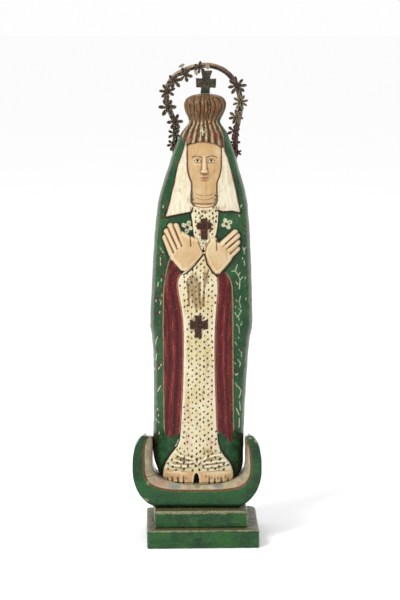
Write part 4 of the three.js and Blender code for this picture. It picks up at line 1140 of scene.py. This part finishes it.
    def strokes(self, color):
        """The painted lines and marks, over everything."""
        self_lace = self.mix(self.step(self.noise(1.7, 53, 2), 0.42, 0.6), "2c2318", "d2c6a4")
        color = self.over(color, self.inside("p_lace", self.wobble), self_lace, 0.85)
        cross = self.mix(self.step(self.fine, 0.42, 0.68), "24140e", "6a4026")
        color = self.over(color, self.inside("p_cross", self.wobble, 0.2), cross)
        color = self.over(color, self.inside("p_line", self.wobble, 0.1, 0.4), "5a361d", 0.85)
        broken = self.both(self.inside("p_worn", self.wobble, 0.1, 0.4), self.step(self.medium, 0.42, 0.5))
        color = self.over(color, broken, "7c4635", 0.85)
        rim = self.both(self.inside("p_rim", self.wobble, 0.1, 0.5), self.step(self.medium, 0.4, 0.52))
        color = self.over(color, rim, "a3845c", 0.85)
        pale = self.both(self.inside("p_pale", self.wobble, 0.2, 0.45), self.step(self.fine, 0.34, 0.48))
        color = self.over(color, pale, self.mix(self.step(self.medium, 0.4, 0.6), "dcd8b6", "b4bd98"))
        color = self.over(color, self.inside("p_ruby", self.wobble, 0.1), "5c1a18")
        color = self.over(color, self.inside("p_lip", self.wobble, 0.0, 0.5), "a9503e", 0.75)
        steady = self.math("MULTIPLY", self.wobble, 0.5)
        return self.over(color, self.inside("p_ink", steady, 0.1, 0.3), "22130c")

    def build(self):
        color = self.green()
        color = self.over(color, self.inside("p_lower", self.wobble), self.lower())
        color = self.over(color, self.inside("p_red", self.wobble), self.red())
        color = self.over(color, self.inside("p_robe", self.wobble), self.robe())
        color = self.over(color, self.inside("p_veil", self.wobble), self.veil())
        color = self.over(color, self.inside("p_skin", self.wobble), self.skin())
        color = self.over(color, self.inside("p_crown", self.wobble), self.crown())
        height = self.add(self.fine, self.streaks, 0.8)
        return self.finish(self.strokes(color), height, 0.3, self.step(self.medium, 0.0, 1.6))

    def lower(self):
        color = self.mix(self.step(self.medium, 0.4, 0.65), "183c20", "285a30")
        # Near-black in the hollows: painted shade.
        color = self.over(color, self.step(self.sunk_shade, 0.3, 0.7), "0d150c", 0.85)
        return self.over(color, self.specks(1.7, 0.67, 59), "7d8a63", 0.8)


# Crescent moon: a U between an outer outline and a scooped hollow, each (x, z, half width, half height, power)
MOON_FRONT = -48
MOON_BACK = 32
MOON_TOP = 165
MOON_BOTTOM = 54.7
MOON_OUTER = np.array([-7.4, 118, 96.8, 76, 2.4])
RIM = np.array([-7, 125, 81.3, 44.8, 3.7])
HOLLOW = np.array([-4.8, 125, 69.7, 34.5, 3.7])
SCOOP_FRONT_DEPTH = 26
SCOOP_BACK_DEPTH = 22
SCOOP_BACK_SHARE = 0.8
ARM_LEANS = {-1: (8, 4), 1: (10.4, 2.3)}
TIP_DROP = 3
BACK_DROP = 12
BACK_INSET = 4
MOON_UNDERCUT = 3
MOON_UNDERCUT_DEPTH = 7
MOON_STATIONS = 150
ARM_STATIONS = 26
FRONT_FACE_STEPS = 9
WORN_CORNER = 1.4


def hollow_at(y):
    """The hollow's oval at depth y, as an array of five values."""
    front = np.clip((MOON_FRONT + SCOOP_FRONT_DEPTH - y) / SCOOP_FRONT_DEPTH, 0, 1)
    back = np.clip((y - MOON_BACK + SCOOP_BACK_DEPTH) / SCOOP_BACK_DEPTH, 0, 1)
    open_share = np.maximum(front**2, SCOOP_BACK_SHARE * back**2)
    return [a + open_share * (b - a) for a, b in zip(HOLLOW, RIM)]


def oval_point(oval, angle):
    x, z, half_width, half_height, power = oval
    return (x + half_width * signed_power(np.cos(angle), 2 / power),
            z + half_height * signed_power(np.sin(angle), 2 / power))


def oval_half_width(oval, z):
    share = np.minimum(1, np.abs(z - oval[1]) / oval[3])
    return oval[2] * (1 - share ** oval[4]) ** (1 / oval[4])


def arm_half_width(side, oval, z):
    """The rim above the hollow's widest height leans in towards the arm's tip."""
    lean, power = ARM_LEANS[side]
    share = (oval[2] - HOLLOW[2]) / (RIM[2] - HOLLOW[2])
    return oval[2] - lean * share * ((z - oval[1]) / (MOON_TOP - oval[1])) ** power


def moon_depths():
    """Depths across one section: round the outside from the back, then through the hollow."""
    turn = MOON_FRONT + MOON_UNDERCUT_DEPTH
    outside = np.concatenate([np.linspace(MOON_BACK, turn, 22), np.linspace(turn, MOON_FRONT, 5)[1:]])
    inside = np.concatenate([np.linspace(MOON_FRONT, MOON_FRONT + 8, 9), np.linspace(MOON_FRONT + 8, MOON_BACK, 26)[1:]])
    return outside, inside


def moon_section(side, position):
    """One section across the crescent, with the way along it from the front rim, negative outside the hollow.

    side is -1 on the left arm, 1 on the right and 0 along the bottom.
    """
    outside, inside = moon_depths()
    if side == 0:
        outer_x, raw_z = oval_point(MOON_OUTER, position)
    else:
        raw_z = MOON_OUTER[1] + position * (MOON_TOP - MOON_OUTER[1])
        outer_x = MOON_OUTER[0] + side * oval_half_width(MOON_OUTER, raw_z)
    outer_z = max(raw_z, MOON_BOTTOM)
    lift = MOON_UNDERCUT * (1 - smoothstep(MOON_BOTTOM, MOON_BOTTOM + 8, raw_z))
    under = smoothstep(MOON_FRONT + MOON_UNDERCUT_DEPTH, MOON_FRONT, outside)
    taper = 0 if side == 0 else position**2
    back = (outside - MOON_FRONT) / (MOON_BACK - MOON_FRONT)
    outer = np.stack([outer_x - side * BACK_INSET * taper * back, outside,
                      outer_z + lift * under - BACK_DROP * taper * back], 1)
    oval = hollow_at(inside)
    if side == 0:
        x, z = oval_point(oval, position)
    else:
        top = MOON_TOP - TIP_DROP - BACK_DROP * (inside - MOON_FRONT) / (MOON_BACK - MOON_FRONT)
        z = oval[1] + position * (top - oval[1])
        x = oval[0] + side * arm_half_width(side, oval, z)
    inner = np.stack([x * np.ones_like(inside), inside, z * np.ones_like(inside)], 1)
    turn = np.linspace(0, math.pi, FRONT_FACE_STEPS + 2)[1:-1, None]
    share = 0.5 - 0.5 * np.cos(turn)
    face = outer[-1] * (1 - share) + inner[0] * share
    width = np.linalg.norm(outer[-1] - inner[0])
    from_edge = width * np.minimum(share, 1 - share)[:, 0]
    face[:, 1] += WORN_CORNER * np.exp(-from_edge / 1.2)
    outer[-1, 1] += WORN_CORNER
    inner[0, 1] += WORN_CORNER
    evenly = np.linspace(0, 1, 8)[1:-1, None]
    behind = inner[-1] * (1 - evenly) + outer[0] * evenly
    steps = np.linalg.norm(np.diff(inner, axis=0), axis=1)
    way = np.concatenate([-width - (outside + 48), -width * (1 - share[:, 0]), [0], np.cumsum(steps),
                          np.full(len(behind), 99.0)])
    return np.concatenate([outer, face, inner, behind])[::-1], way[::-1]


# Worn and stained places in the moon's hollow and on its arms, by the photograph's pixels: (px, py, reach, reach)
MOON_SMUDGES = {
    "blue": [(175, 487, 10, 3), (218, 486.5, 9, 3)],
    "pink": [(160, 483, 9, 6), (150, 456, 2.5, 10), (247, 452, 2.5, 12), (240, 484, 6, 3)],
    "mound": [(196.6, 484.5, 5.5, 7)],
    "orange": [(246.5, 444.5, 2.8, 4)],
    "worn": [(147, 435, 7, 1.6), (146.5, 499, 6, 3.5), (256, 440.5, 4, 3), (250, 437.2, 4, 2), (148, 482, 3, 4)],
}
CRACK = [(144, 476.2), (149, 476.8), (154, 476.5)]


def moon_mesh(material):
    pairs = [moon_section(-1, i / ARM_STATIONS) for i in range(ARM_STATIONS, 0, -1)]
    pairs += [moon_section(0, math.pi * (1 + i / MOON_STATIONS)) for i in range(MOON_STATIONS + 1)]
    pairs += [moon_section(1, i / ARM_STATIONS) for i in range(1, ARM_STATIONS + 1)]
    sections, ways = zip(*pairs)
    columns = len(sections[0])
    count = len(sections) * columns
    ends = [sections[0].mean(0), sections[-1].mean(0)]
    points = np.concatenate([*sections, ends])
    way = np.concatenate([*ways, [-8, -8]])
    faces = ring_faces(len(sections), columns)
    faces += fan(0, columns, count, False) + fan(count - columns, columns, count + 1, True)
    lumps = rough(points, 22, 4) + 0.5 * rough(points, 8, 5)
    away = points - np.array([-7, 0, 118])
    away[:, 1] = 0
    away /= np.maximum(np.linalg.norm(away, axis=1), 1)[:, None]
    resting = smoothstep(MOON_BOTTOM, MOON_BOTTOM + 4, points[:, 2])
    moved = points + away * (0.6 * lumps * resting)[:, None]
    moved[:, 1] += 0.5 * rough(points, 18, 6) * (points[:, 1] < MOON_FRONT + 2)
    piece = mesh_object("crescent_moon_carved", moved, faces, "crescent_moon", material)
    add_values(piece, "p_way", way)
    add_values(piece, "p_front", points[:, 1] - MOON_FRONT)
    add_values(piece, "p_low", points[:, 2] - MOON_BOTTOM)
    x, z = points[:, 0], points[:, 2]
    for name, spots in MOON_SMUDGES.items():
        placed = [(*from_photo(px, py, MOON_FRONT + 6), rx * 1.5, rz * 1.5) for px, py, rx, rz in spots]
        add_values(piece, "p_" + name, smudge(x, z, placed) * (points[:, 1] < MOON_FRONT + 30))
    crack = line_distance(stroke_from_photo(CRACK, MOON_FRONT + 6), x, z)
    add_values(piece, "p_crack", np.where(points[:, 1] < MOON_FRONT + 20, crack, FAR))
    return piece


def moon_paint():
    p = Paint("moon_paint", roughness=0.5)
    fine = p.noise(2.2, 0, 4)
    medium = p.noise(9, 3)
    broad = p.noise(30, 9)
    brush = p.noise(3.0, 15, where=p.stretched(0.2, 1, 1))
    way = p.add(p.value("p_way"), p.centred(medium, 2.4))
    green = p.mix(p.step(broad, 0.38, 0.62), "1f4226", "2a5a30")
    green = p.over(green, p.step(brush, 0.54, 0.7), "183019", 0.7)
    green = p.over(green, p.step(medium, 0.56, 0.7), "3f4a2a", 0.6)
    green = p.over(green, p.specks(1.6, 0.67, 23), "96926f")
    # Darker green along the moon's bottom, where it sits on the step: painted shade.
    green = p.over(green, p.step(p.add(p.value("p_low"), p.centred(medium, 8)), 9, 2), "14200f", 0.8)
    near_corner = p.step(p.math("ABSOLUTE", p.add(p.value("p_way"), p.centred(fine, 5))), 1.4, 0.4)
    hollow = p.mix(p.step(medium, 0.42, 0.62), "c9bfa0", "aaa288")
    hollow = p.over(hollow, p.step(broad, 0.5, 0.7), "bfa688", 0.7)
    hollow = p.over(hollow, p.step(fine, 0.58, 0.72), "857a5c", 0.7)
    hollow = p.over(hollow, p.step(p.value("p_pink"), 0.25, 0.8), "b9907c", 0.7)
    hollow = p.over(hollow, p.step(p.value("p_blue"), 0.25, 0.8), "8f9590", 0.8)
    # Darker deeper in the hollow, behind the figure: painted shade.
    hollow = p.over(hollow, p.step(p.value("p_front"), 16, 40), "6a5f48", 0.8)
    color = p.over(green, p.step(way, -0.3, 0.6), hollow)
    color = p.over(color, near_corner, "8a8462", 0.35)
    line = p.both(p.step(way, -0.8, 0.2), p.step(way, 4.2, 3.0))
    color = p.over(color, line, p.mix(p.step(fine, 0.4, 0.62), "7a3f1e", "43220f"), 0.92)
    color = p.over(color, p.step(p.add(p.value("p_worn"), p.centred(fine, 0.9)), 0.4, 0.75), "8f8f70", 0.8)
    color = p.over(color, p.step(p.add(p.value("p_mound"), p.centred(fine, 0.5)), 0.3, 0.6), "9c8e66", 0.85)
    color = p.over(color, p.step(p.add(p.value("p_orange"), p.centred(fine, 0.6)), 0.35, 0.7), "b07a24", 0.85)
    color = p.over(color, p.step(p.add(p.value("p_crack"), p.centred(fine, 0.8)), 0.8, 0.3), "3a2416", 0.85)
    height = p.add(fine, medium, 0.6)
    return p.finish(color, height, 0.35, p.step(medium, 0.0, 1.6))


# Plinth and cross: the CAD blocks cut into a fine even mesh, with worn edges and a hand-cut surface
MAIN_FACE_SHARE = 0.02


def edge_distance(node, points):
    """Distance to the nearest meeting of two of a CAD block's main faces."""
    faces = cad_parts[node].data.polygons
    largest = max(face.area for face in faces)
    planes = set()
    for face in faces:
        if face.area > MAIN_FACE_SHARE * largest:
            offset = face.normal.dot(face.center) / MM
            planes.add((*(round(v, 2) for v in face.normal), round(offset)))
    gaps = [np.abs(points @ np.array(plane[:3]) - plane[3]) for plane in planes]
    return np.sort(gaps, axis=0)[1]


def worn_copy(node, name, cell, roughness, material, lip):
    """A finely remeshed copy of a CAD node, its surface pushed in and out a little."""
    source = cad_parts[node]
    piece = bpy.data.objects.new(name, source.data.copy())
    bpy.context.scene.collection.objects.link(piece)
    remesh = piece.modifiers.new("even", "REMESH")
    remesh.mode = "VOXEL"
    remesh.voxel_size = cell * MM
    smooth = piece.modifiers.new("soft", "SMOOTH")
    smooth.iterations = 2
    evaluated = piece.evaluated_get(bpy.context.evaluated_depsgraph_get())
    mesh = bpy.data.meshes.new_from_object(evaluated)
    piece.modifiers.clear()
    piece.data = mesh
    points = vertex_values(mesh, "co") / MM
    normals = vertex_values(mesh, "normal")
    low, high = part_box(node)
    edge = edge_distance(node, points)
    lumps = rough(points, 24, 3) + 0.6 * rough(points, 7, 8)
    lumps -= (1.1 + 1.3 * rough(points, 9, 2)) * np.exp(-edge / 2.2)
    resting = points[:, 2] - low[2] / MM < 1.5
    points += normals * (roughness * lumps * ~resting)[:, None]
    mesh.vertices.foreach_set("co", (points * MM).astype(np.float32).ravel())
    add_values(piece, "p_edge", edge)
    add_values(piece, "p_top", high[2] / MM - points[:, 2])
    add_values(piece, "p_lip", (high[2] / MM - points[:, 2]) / lip)
    return dress(piece, node, material)


def vertex_values(mesh, name):
    values = np.zeros(len(mesh.vertices) * 3, np.float32)
    mesh.vertices.foreach_get(name, values)
    return values.reshape(-1, 3).astype(float)


def plinth_paint():
    p = Paint("plinth_paint", roughness=0.55)
    fine = p.noise(2.0, 0, 4)
    medium = p.noise(8, 3)
    broad = p.noise(30, 9)
    brush = p.noise(2.6, 5, where=p.stretched(0.12, 1, 1))
    green = p.mix(p.step(broad, 0.38, 0.62), "24482a", "30602f")
    green = p.over(green, p.step(brush, 0.52, 0.7), "416b40", 0.7)
    green = p.over(green, p.step(medium, 0.56, 0.72), "1d3420", 0.8)
    green = p.over(green, p.specks(1.8, 0.66, 27), "858a68", 0.8)
    weathered = p.mix(p.step(fine, 0.4, 0.62), "9a9474", "67684c")
    weathered = p.over(weathered, p.step(medium, 0.5, 0.7), "57573c", 0.8)
    flat_top = p.mix(p.step(fine, 0.4, 0.62), "77724f", "3f402b")
    color = p.over(green, p.step(p.add(p.value("p_lip"), p.centred(medium, 1.2)), 1.15, 0.75), weathered)
    color = p.over(color, p.step(p.value("p_top"), 0.7, 0.3), flat_top)
    edge = p.step(p.add(p.value("p_edge"), p.centred(medium, 4)), 1.6, 0.3)
    color = p.over(color, edge, "9a977a", 0.8)
    return p.finish(color, p.add(fine, brush), 0.4, p.step(medium, -0.2, 1.5))


def cross_paint():
    p = Paint("cross_paint", roughness=0.6)
    fine = p.noise(1.6, 0, 4)
    medium = p.noise(6, 3)
    color = p.mix(p.step(medium, 0.4, 0.62), "2a261a", "4a4432")
    color = p.over(color, p.step(fine, 0.55, 0.7), "7a6b4c", 0.9)
    color = p.over(color, p.step(p.add(p.value("p_top"), p.centred(medium, 12)), 24, 32), "26392c", 0.8)
    return p.finish(color, fine, 0.45, p.step(medium, -0.3, 1.5))


# Halo hoop
ROD_RADIUS = 4.2
HOOP_Y = 22
HOOP_POINTS = [
    (-35, 556, 39), (-39, 573, 32), (-41, 590, 26.5), (-40, 606, 23.5), (-38.5, 622, HOOP_Y),
    (-46, 640, HOOP_Y), (-52.5, 659, HOOP_Y), (-52, 678, HOOP_Y), (-43, 694, HOOP_Y), (-26, 705, HOOP_Y),
    (-5, 711, HOOP_Y), (11, 712, HOOP_Y), (30, 706, HOOP_Y), (46, 692, HOOP_Y), (55, 673, HOOP_Y),
    (57.5, 652, HOOP_Y), (54, 630, HOOP_Y), (50.5, 612, 23), (50.2, 592, 27), (48.5, 573, 32.5),
    (43, 554, 40),
]
ROD_STATIONS = 240
ROD_SIDES = 18
# The direction of the rod's painted highlight: lighter on the side facing it, darker on the side away.
LIT_SIDE = np.array([-0.35, -0.45, 0.82])


def hoop_mesh(material):
    corners = np.array([(x, y, z) for x, z, y in HOOP_POINTS], float)
    length = np.append(0, np.cumsum(np.linalg.norm(np.diff(corners, axis=0), axis=1)))
    at = np.linspace(0, length[-1], ROD_STATIONS)
    path = np.stack([curve_through(list(zip(length, corners[:, i])))(at) for i in range(3)], 1)
    along = np.gradient(path, axis=0)
    along /= np.linalg.norm(along, axis=1)[:, None]
    across = np.cross(along, np.array([0, 1.0, 0]))
    across /= np.linalg.norm(across, axis=1)[:, None]
    up = np.cross(across, along)
    angle = 2 * math.pi * np.arange(ROD_SIDES) / ROD_SIDES
    spokes = across[:, None] * np.cos(angle)[None, :, None] + up[:, None] * np.sin(angle)[None, :, None]
    plain = path[:, None] + ROD_RADIUS * spokes
    lumps = rough(plain, 9, 6) + 0.5 * rough(plain, 3, 7)
    points = path[:, None] + (ROD_RADIUS - 0.15 + 0.35 * lumps)[..., None] * spokes
    count = ROD_STATIONS * ROD_SIDES
    everything = np.concatenate([points.reshape(-1, 3), path[[0, -1]]])
    faces = ring_faces(ROD_STATIONS, ROD_SIDES)
    faces += fan(0, ROD_SIDES, count, False) + fan(count - ROD_SIDES, ROD_SIDES, count + 1, True)
    piece = mesh_object("halo_hoop_rod", everything, faces, "halo_hoop", material)
    add_values(piece, "p_lit_side", np.append(spokes @ LIT_SIDE, [0, 0]))
    return piece


def rod_paint():
    p = Paint("rusty_rod", roughness=0.55, specular=0.4, metallic=0.2)
    fine = p.noise(1.6, 0, 4)
    medium = p.noise(7, 3)
    color = p.mix(p.step(medium, 0.4, 0.62), "2e211a", "5c4434")
    color = p.over(color, p.step(p.noise(12, 8, 2), 0.54, 0.66), "6e3a24", 0.8)
    # Tan on the rod's upper left side: painted highlight.
    worn = p.step(p.add(p.value("p_lit_side"), p.centred(fine, 0.9)), 0.45, 0.95)
    color = p.over(color, worn, "b59c7c", 0.85)
    # Near-black on the rod's underside: painted shade.
    color = p.over(color, p.step(p.value("p_lit_side"), -0.1, -0.8), "17100c", 0.7)
    return p.finish(color, fine, 0.5, p.step(medium, -0.4, 1.6))


# Tin flowers: (x, z, radius, petals, spin in degrees), up the left side, over the top and down the right
FLOWERS = [
    (-43.6, 594.6, 9.5, 6, 10), (-41.4, 611, 10.5, 6, 35), (-40.3, 629.1, 12.5, 6, 5), (-51.4, 650.2, 14, 6, 0),
    (-51.6, 673.6, 12.5, 7, 20), (-41.3, 689.2, 12, 6, 12), (-25.3, 698, 12, 6, 50), (-3.7, 709.1, 9.5, 6, 25),
    (52, 681.8, 14.5, 8, 8), (57.3, 658.1, 12, 8, 15), (50.6, 636.5, 12, 7, 40), (47.2, 615, 10.5, 6, 20),
    (48.6, 598.4, 8.8, 6, 0), (53, 583, 6.4, 6, 30),
]
LIGHT_FLOWERS = (10, 11)
REDDISH_FLOWERS = (12, 13, 14)
SHEET_THICKNESS = 0.7
FLOWER_LAYER = 1.5
PETAL_ALONG = 11
PETAL_ACROSS = 7


def front_of_rod(z):
    lean_back = 3.4 * float(smoothstep(622, 584, z))
    return HOOP_Y + lean_back - ROD_RADIUS - CONTACT_GAP


def petal_sheet(length, half_width, angle, lean, dish, twist):
    """One petal with a narrow neck and a rounded tip, as rows of points and how near each is to the edge."""
    along = np.linspace(0.1, 1, PETAL_ALONG)
    outline = np.sin(math.pi * along**1.7) ** 0.62 * (1 - 0.25 * (along < 0.3))
    half = half_width * np.maximum(outline, np.where(along < 0.5, 0.3, 0.12))
    across = np.linspace(-1, 1, PETAL_ACROSS)
    u = length * along[:, None] * np.ones(PETAL_ACROSS)
    v = half[:, None] * across
    depth = lean * length * along[:, None] ** 2 + dish * half_width * across**2 * along[:, None] + twist * v
    x = u * math.cos(angle) - v * math.sin(angle)
    z = u * math.sin(angle) + v * math.cos(angle)
    edge = np.maximum(np.abs(across), smoothstep(0.8, 1, along)[:, None])
    return np.stack([x, -depth, z], -1), edge * smoothstep(0.15, 0.5, along)[:, None]


def flower_sheets(radius, petals, spin, chance):
    """All the petals of one flower: an outer whorl and a smaller one in front, each petal bent its own way."""
    sheets = []
    for size, lift, turn, count in ((1.0, 0.0, 0.0, petals), (0.55, 1.2, 0.5, 5)):
        for i in range(count):
            angle = math.radians(spin) + 2 * math.pi * (i + turn + chance.uniform(-0.07, 0.07)) / count
            length = radius * size * chance.uniform(0.9, 1.03)
            half_width = 2.5 * radius * size / max(petals, 6) / 1.9 * 2 * chance.uniform(0.44, 0.54)
            sheet, edge = petal_sheet(length, half_width, angle, chance.uniform(-0.04, 0.3),
                                      chance.uniform(0.25, 0.7), chance.uniform(-0.3, 0.3))
            sheet[..., 1] -= lift
            sheets.append((sheet, edge))
    return sheets


def boss_points(radius, lift, rings=4, columns=10):
    """A small boss in the middle of a flower."""
    turn = math.pi / 2 * np.arange(rings)[:, None] / rings
    angle = 2 * math.pi * np.arange(columns)[None] / columns
    flat = radius * np.cos(turn)
    out = -lift - 0.8 * radius * np.sin(turn) * np.ones(columns)
    return np.stack([flat * np.cos(angle), out, flat * np.sin(angle)], -1)


def thicken(piece):
    """Gives an open sheet its thickness, as real mesh."""
    solid = piece.modifiers.new("solid", "SOLIDIFY")
    solid.thickness = SHEET_THICKNESS * MM
    solid.offset = 0
    evaluated = piece.evaluated_get(bpy.context.evaluated_depsgraph_get())
    mesh = bpy.data.meshes.new_from_object(evaluated)
    piece.modifiers.clear()
    piece.data = mesh


def sheet_object(name, sheets, place, node, material, boss=0.0):
    points, edges, faces = [], [], []
    for sheet, edge in sheets:
        start = len(points)
        points.extend(sheet.reshape(-1, 3))
        edges.extend(edge.ravel())
        faces += [tuple(start + i for i in face) for face in ring_faces(*sheet.shape[:2], closed=False)]
    if boss:
        dome = boss_points(boss, 1.3)
        rings, columns = dome.shape[:2]
        start = len(points)
        points.extend(dome.reshape(-1, 3))
        points.append(np.array([0, -1.3 - 0.8 * boss, 0]))
        edges.extend([0.2] * (rings * columns) + [0.8])
        faces += [tuple(start + i for i in face) for face in ring_faces(rings, columns)]
        faces += fan(start + (rings - 1) * columns, columns, start + rings * columns, True)
    piece = mesh_object(name, np.array(points) + np.array(place), faces, node, material)
    add_values(piece, "p_edge", np.array(edges))
    thicken(piece)
    return piece


def flowers():
    dark = tin_paint("aged_tin", "1c1511", "3a2c22", "9c8668")
    light = tin_paint("aged_tin_light", "3a3022", "6d5f45", "b8a680")
    reddish = tin_paint("aged_tin_reddish", "29120f", "4c2820", "a07a62")
    for i, (x, z, radius, petals, spin) in enumerate(FLOWERS):
        chance = random.Random(100 + i)
        number = f"{i + 1:02d}"
        place = (x, front_of_rod(z + radius) - (i % 2) * FLOWER_LAYER - SHEET_THICKNESS, z)
        sheets = flower_sheets(radius, petals, spin, chance)
        material = reddish if i + 1 in REDDISH_FLOWERS else light if i + 1 in LIGHT_FLOWERS else dark
        sheet_object("tin_flower_" + number, sheets, place, "halo_flower_" + number, material,
                     boss=0.17 * radius)


# Tin leaves near the hoop's top: (x, z, length, width, turn in degrees, layer)
LEAVES = [
    (-31, 711.5, 11, 4.5, 28, 2), (-18, 711, 13, 3.6, 14, 2), (-9.5, 702.5, 10, 5, -62, 3),
    (7.4, 711.5, 10, 6, -70, 3),
]


def leaves():
    material = tin_paint("pale_tin", "7d6d55", "b0a083", "dccfb0")
    for i, (x, z, length, width, turn, layer) in enumerate(LEAVES):
        chance = random.Random(200 + i)
        angle = math.radians(turn)
        sheet, edge = petal_sheet(length, width / 2, angle, chance.uniform(0.1, 0.3), 0.4, 0.15)
        sheet -= np.array([length / 2 * math.cos(angle), 0, length / 2 * math.sin(angle)])
        number = f"{i + 1:02d}"
        place = (x, front_of_rod(z) - layer * FLOWER_LAYER, z)
        sheet_object("tin_leaf_" + number, [(sheet, edge)], place, "halo_leaf_" + number, material)


def tin_paint(name, dark, middling, worn):
    p = Paint(name, roughness=0.5, specular=0.4, metallic=0.25)
    fine = p.noise(1.3, 0, 4)
    medium = p.noise(5, 3)
    color = p.mix(p.step(medium, 0.4, 0.62), dark, middling)
    edge = p.step(p.add(p.value("p_edge"), p.centred(fine, 1.2)), 0.62, 0.95)
    color = p.over(color, edge, worn, 0.8)
    color = p.over(color, p.step(fine, 0.6, 0.72), worn, 0.6)
    return p.finish(color, fine, 0.35, p.step(medium, -0.4, 1.5))


# Floor and light
FLOOR_REACH_M = 90


def make_floor():
    mesh = bpy.data.meshes.new("floor")
    corners = [(-1, -1), (1, -1), (1, 1), (-1, 1)]
    mesh.from_pydata([(FLOOR_REACH_M * x, FLOOR_REACH_M * y, 0) for x, y in corners], [], [(0, 1, 2, 3)])
    floor = bpy.data.objects.new("floor", mesh)
    bpy.context.scene.collection.objects.link(floor)
    p = Paint("floor", roughness=0.8, specular=0.0)
    p.LIGHT_SHARE = 1
    soft = p.noise(400, 0, 2)
    mesh.materials.append(p.finish(p.mix(soft, "fcfcfc", "fefefe"), soft, 0.01))


def area_light(name, place, size, power):
    data = bpy.data.lights.new(name, "AREA")
    data.size = size
    data.energy = power
    light = bpy.data.objects.new(name, data)
    light.location = place
    aim = Vector((0, 0, 0.36)) - Vector(place)
    light.rotation_euler = aim.to_track_quat("-Z", "Y").to_euler()
    bpy.context.scene.collection.objects.link(light)


def make_light():
    world = bpy.data.worlds.new("studio")
    world.use_nodes = True
    background = world.node_tree.nodes["Background"]
    background.inputs["Color"].default_value = (0.985, 0.985, 0.985, 1)
    background.inputs["Strength"].default_value = 1.0
    bpy.context.scene.world = world
    area_light("key", (-1.7, -2.2, 2.6), 1.2, 85)
    area_light("fill", (2.2, -2.2, 1.2), 1.6, 14)
    bpy.context.scene.view_settings.view_transform = "Standard"


make_camera()
make_floor()
make_light()
figure_mesh(FigurePaint().build())
moon_mesh(moon_paint())
green_blocks = plinth_paint()
worn_copy("plinth_base", "plinth_base_worn", 1.6, 0.5, green_blocks, 2.4)
worn_copy("plinth_step", "plinth_step_worn", 1.5, 0.5, green_blocks, 4.6)
worn_copy("crown_cross", "crown_cross_worn", 0.7, 0.3, cross_paint(), 4.0)
hoop_mesh(rod_paint())
flowers()
leaves()
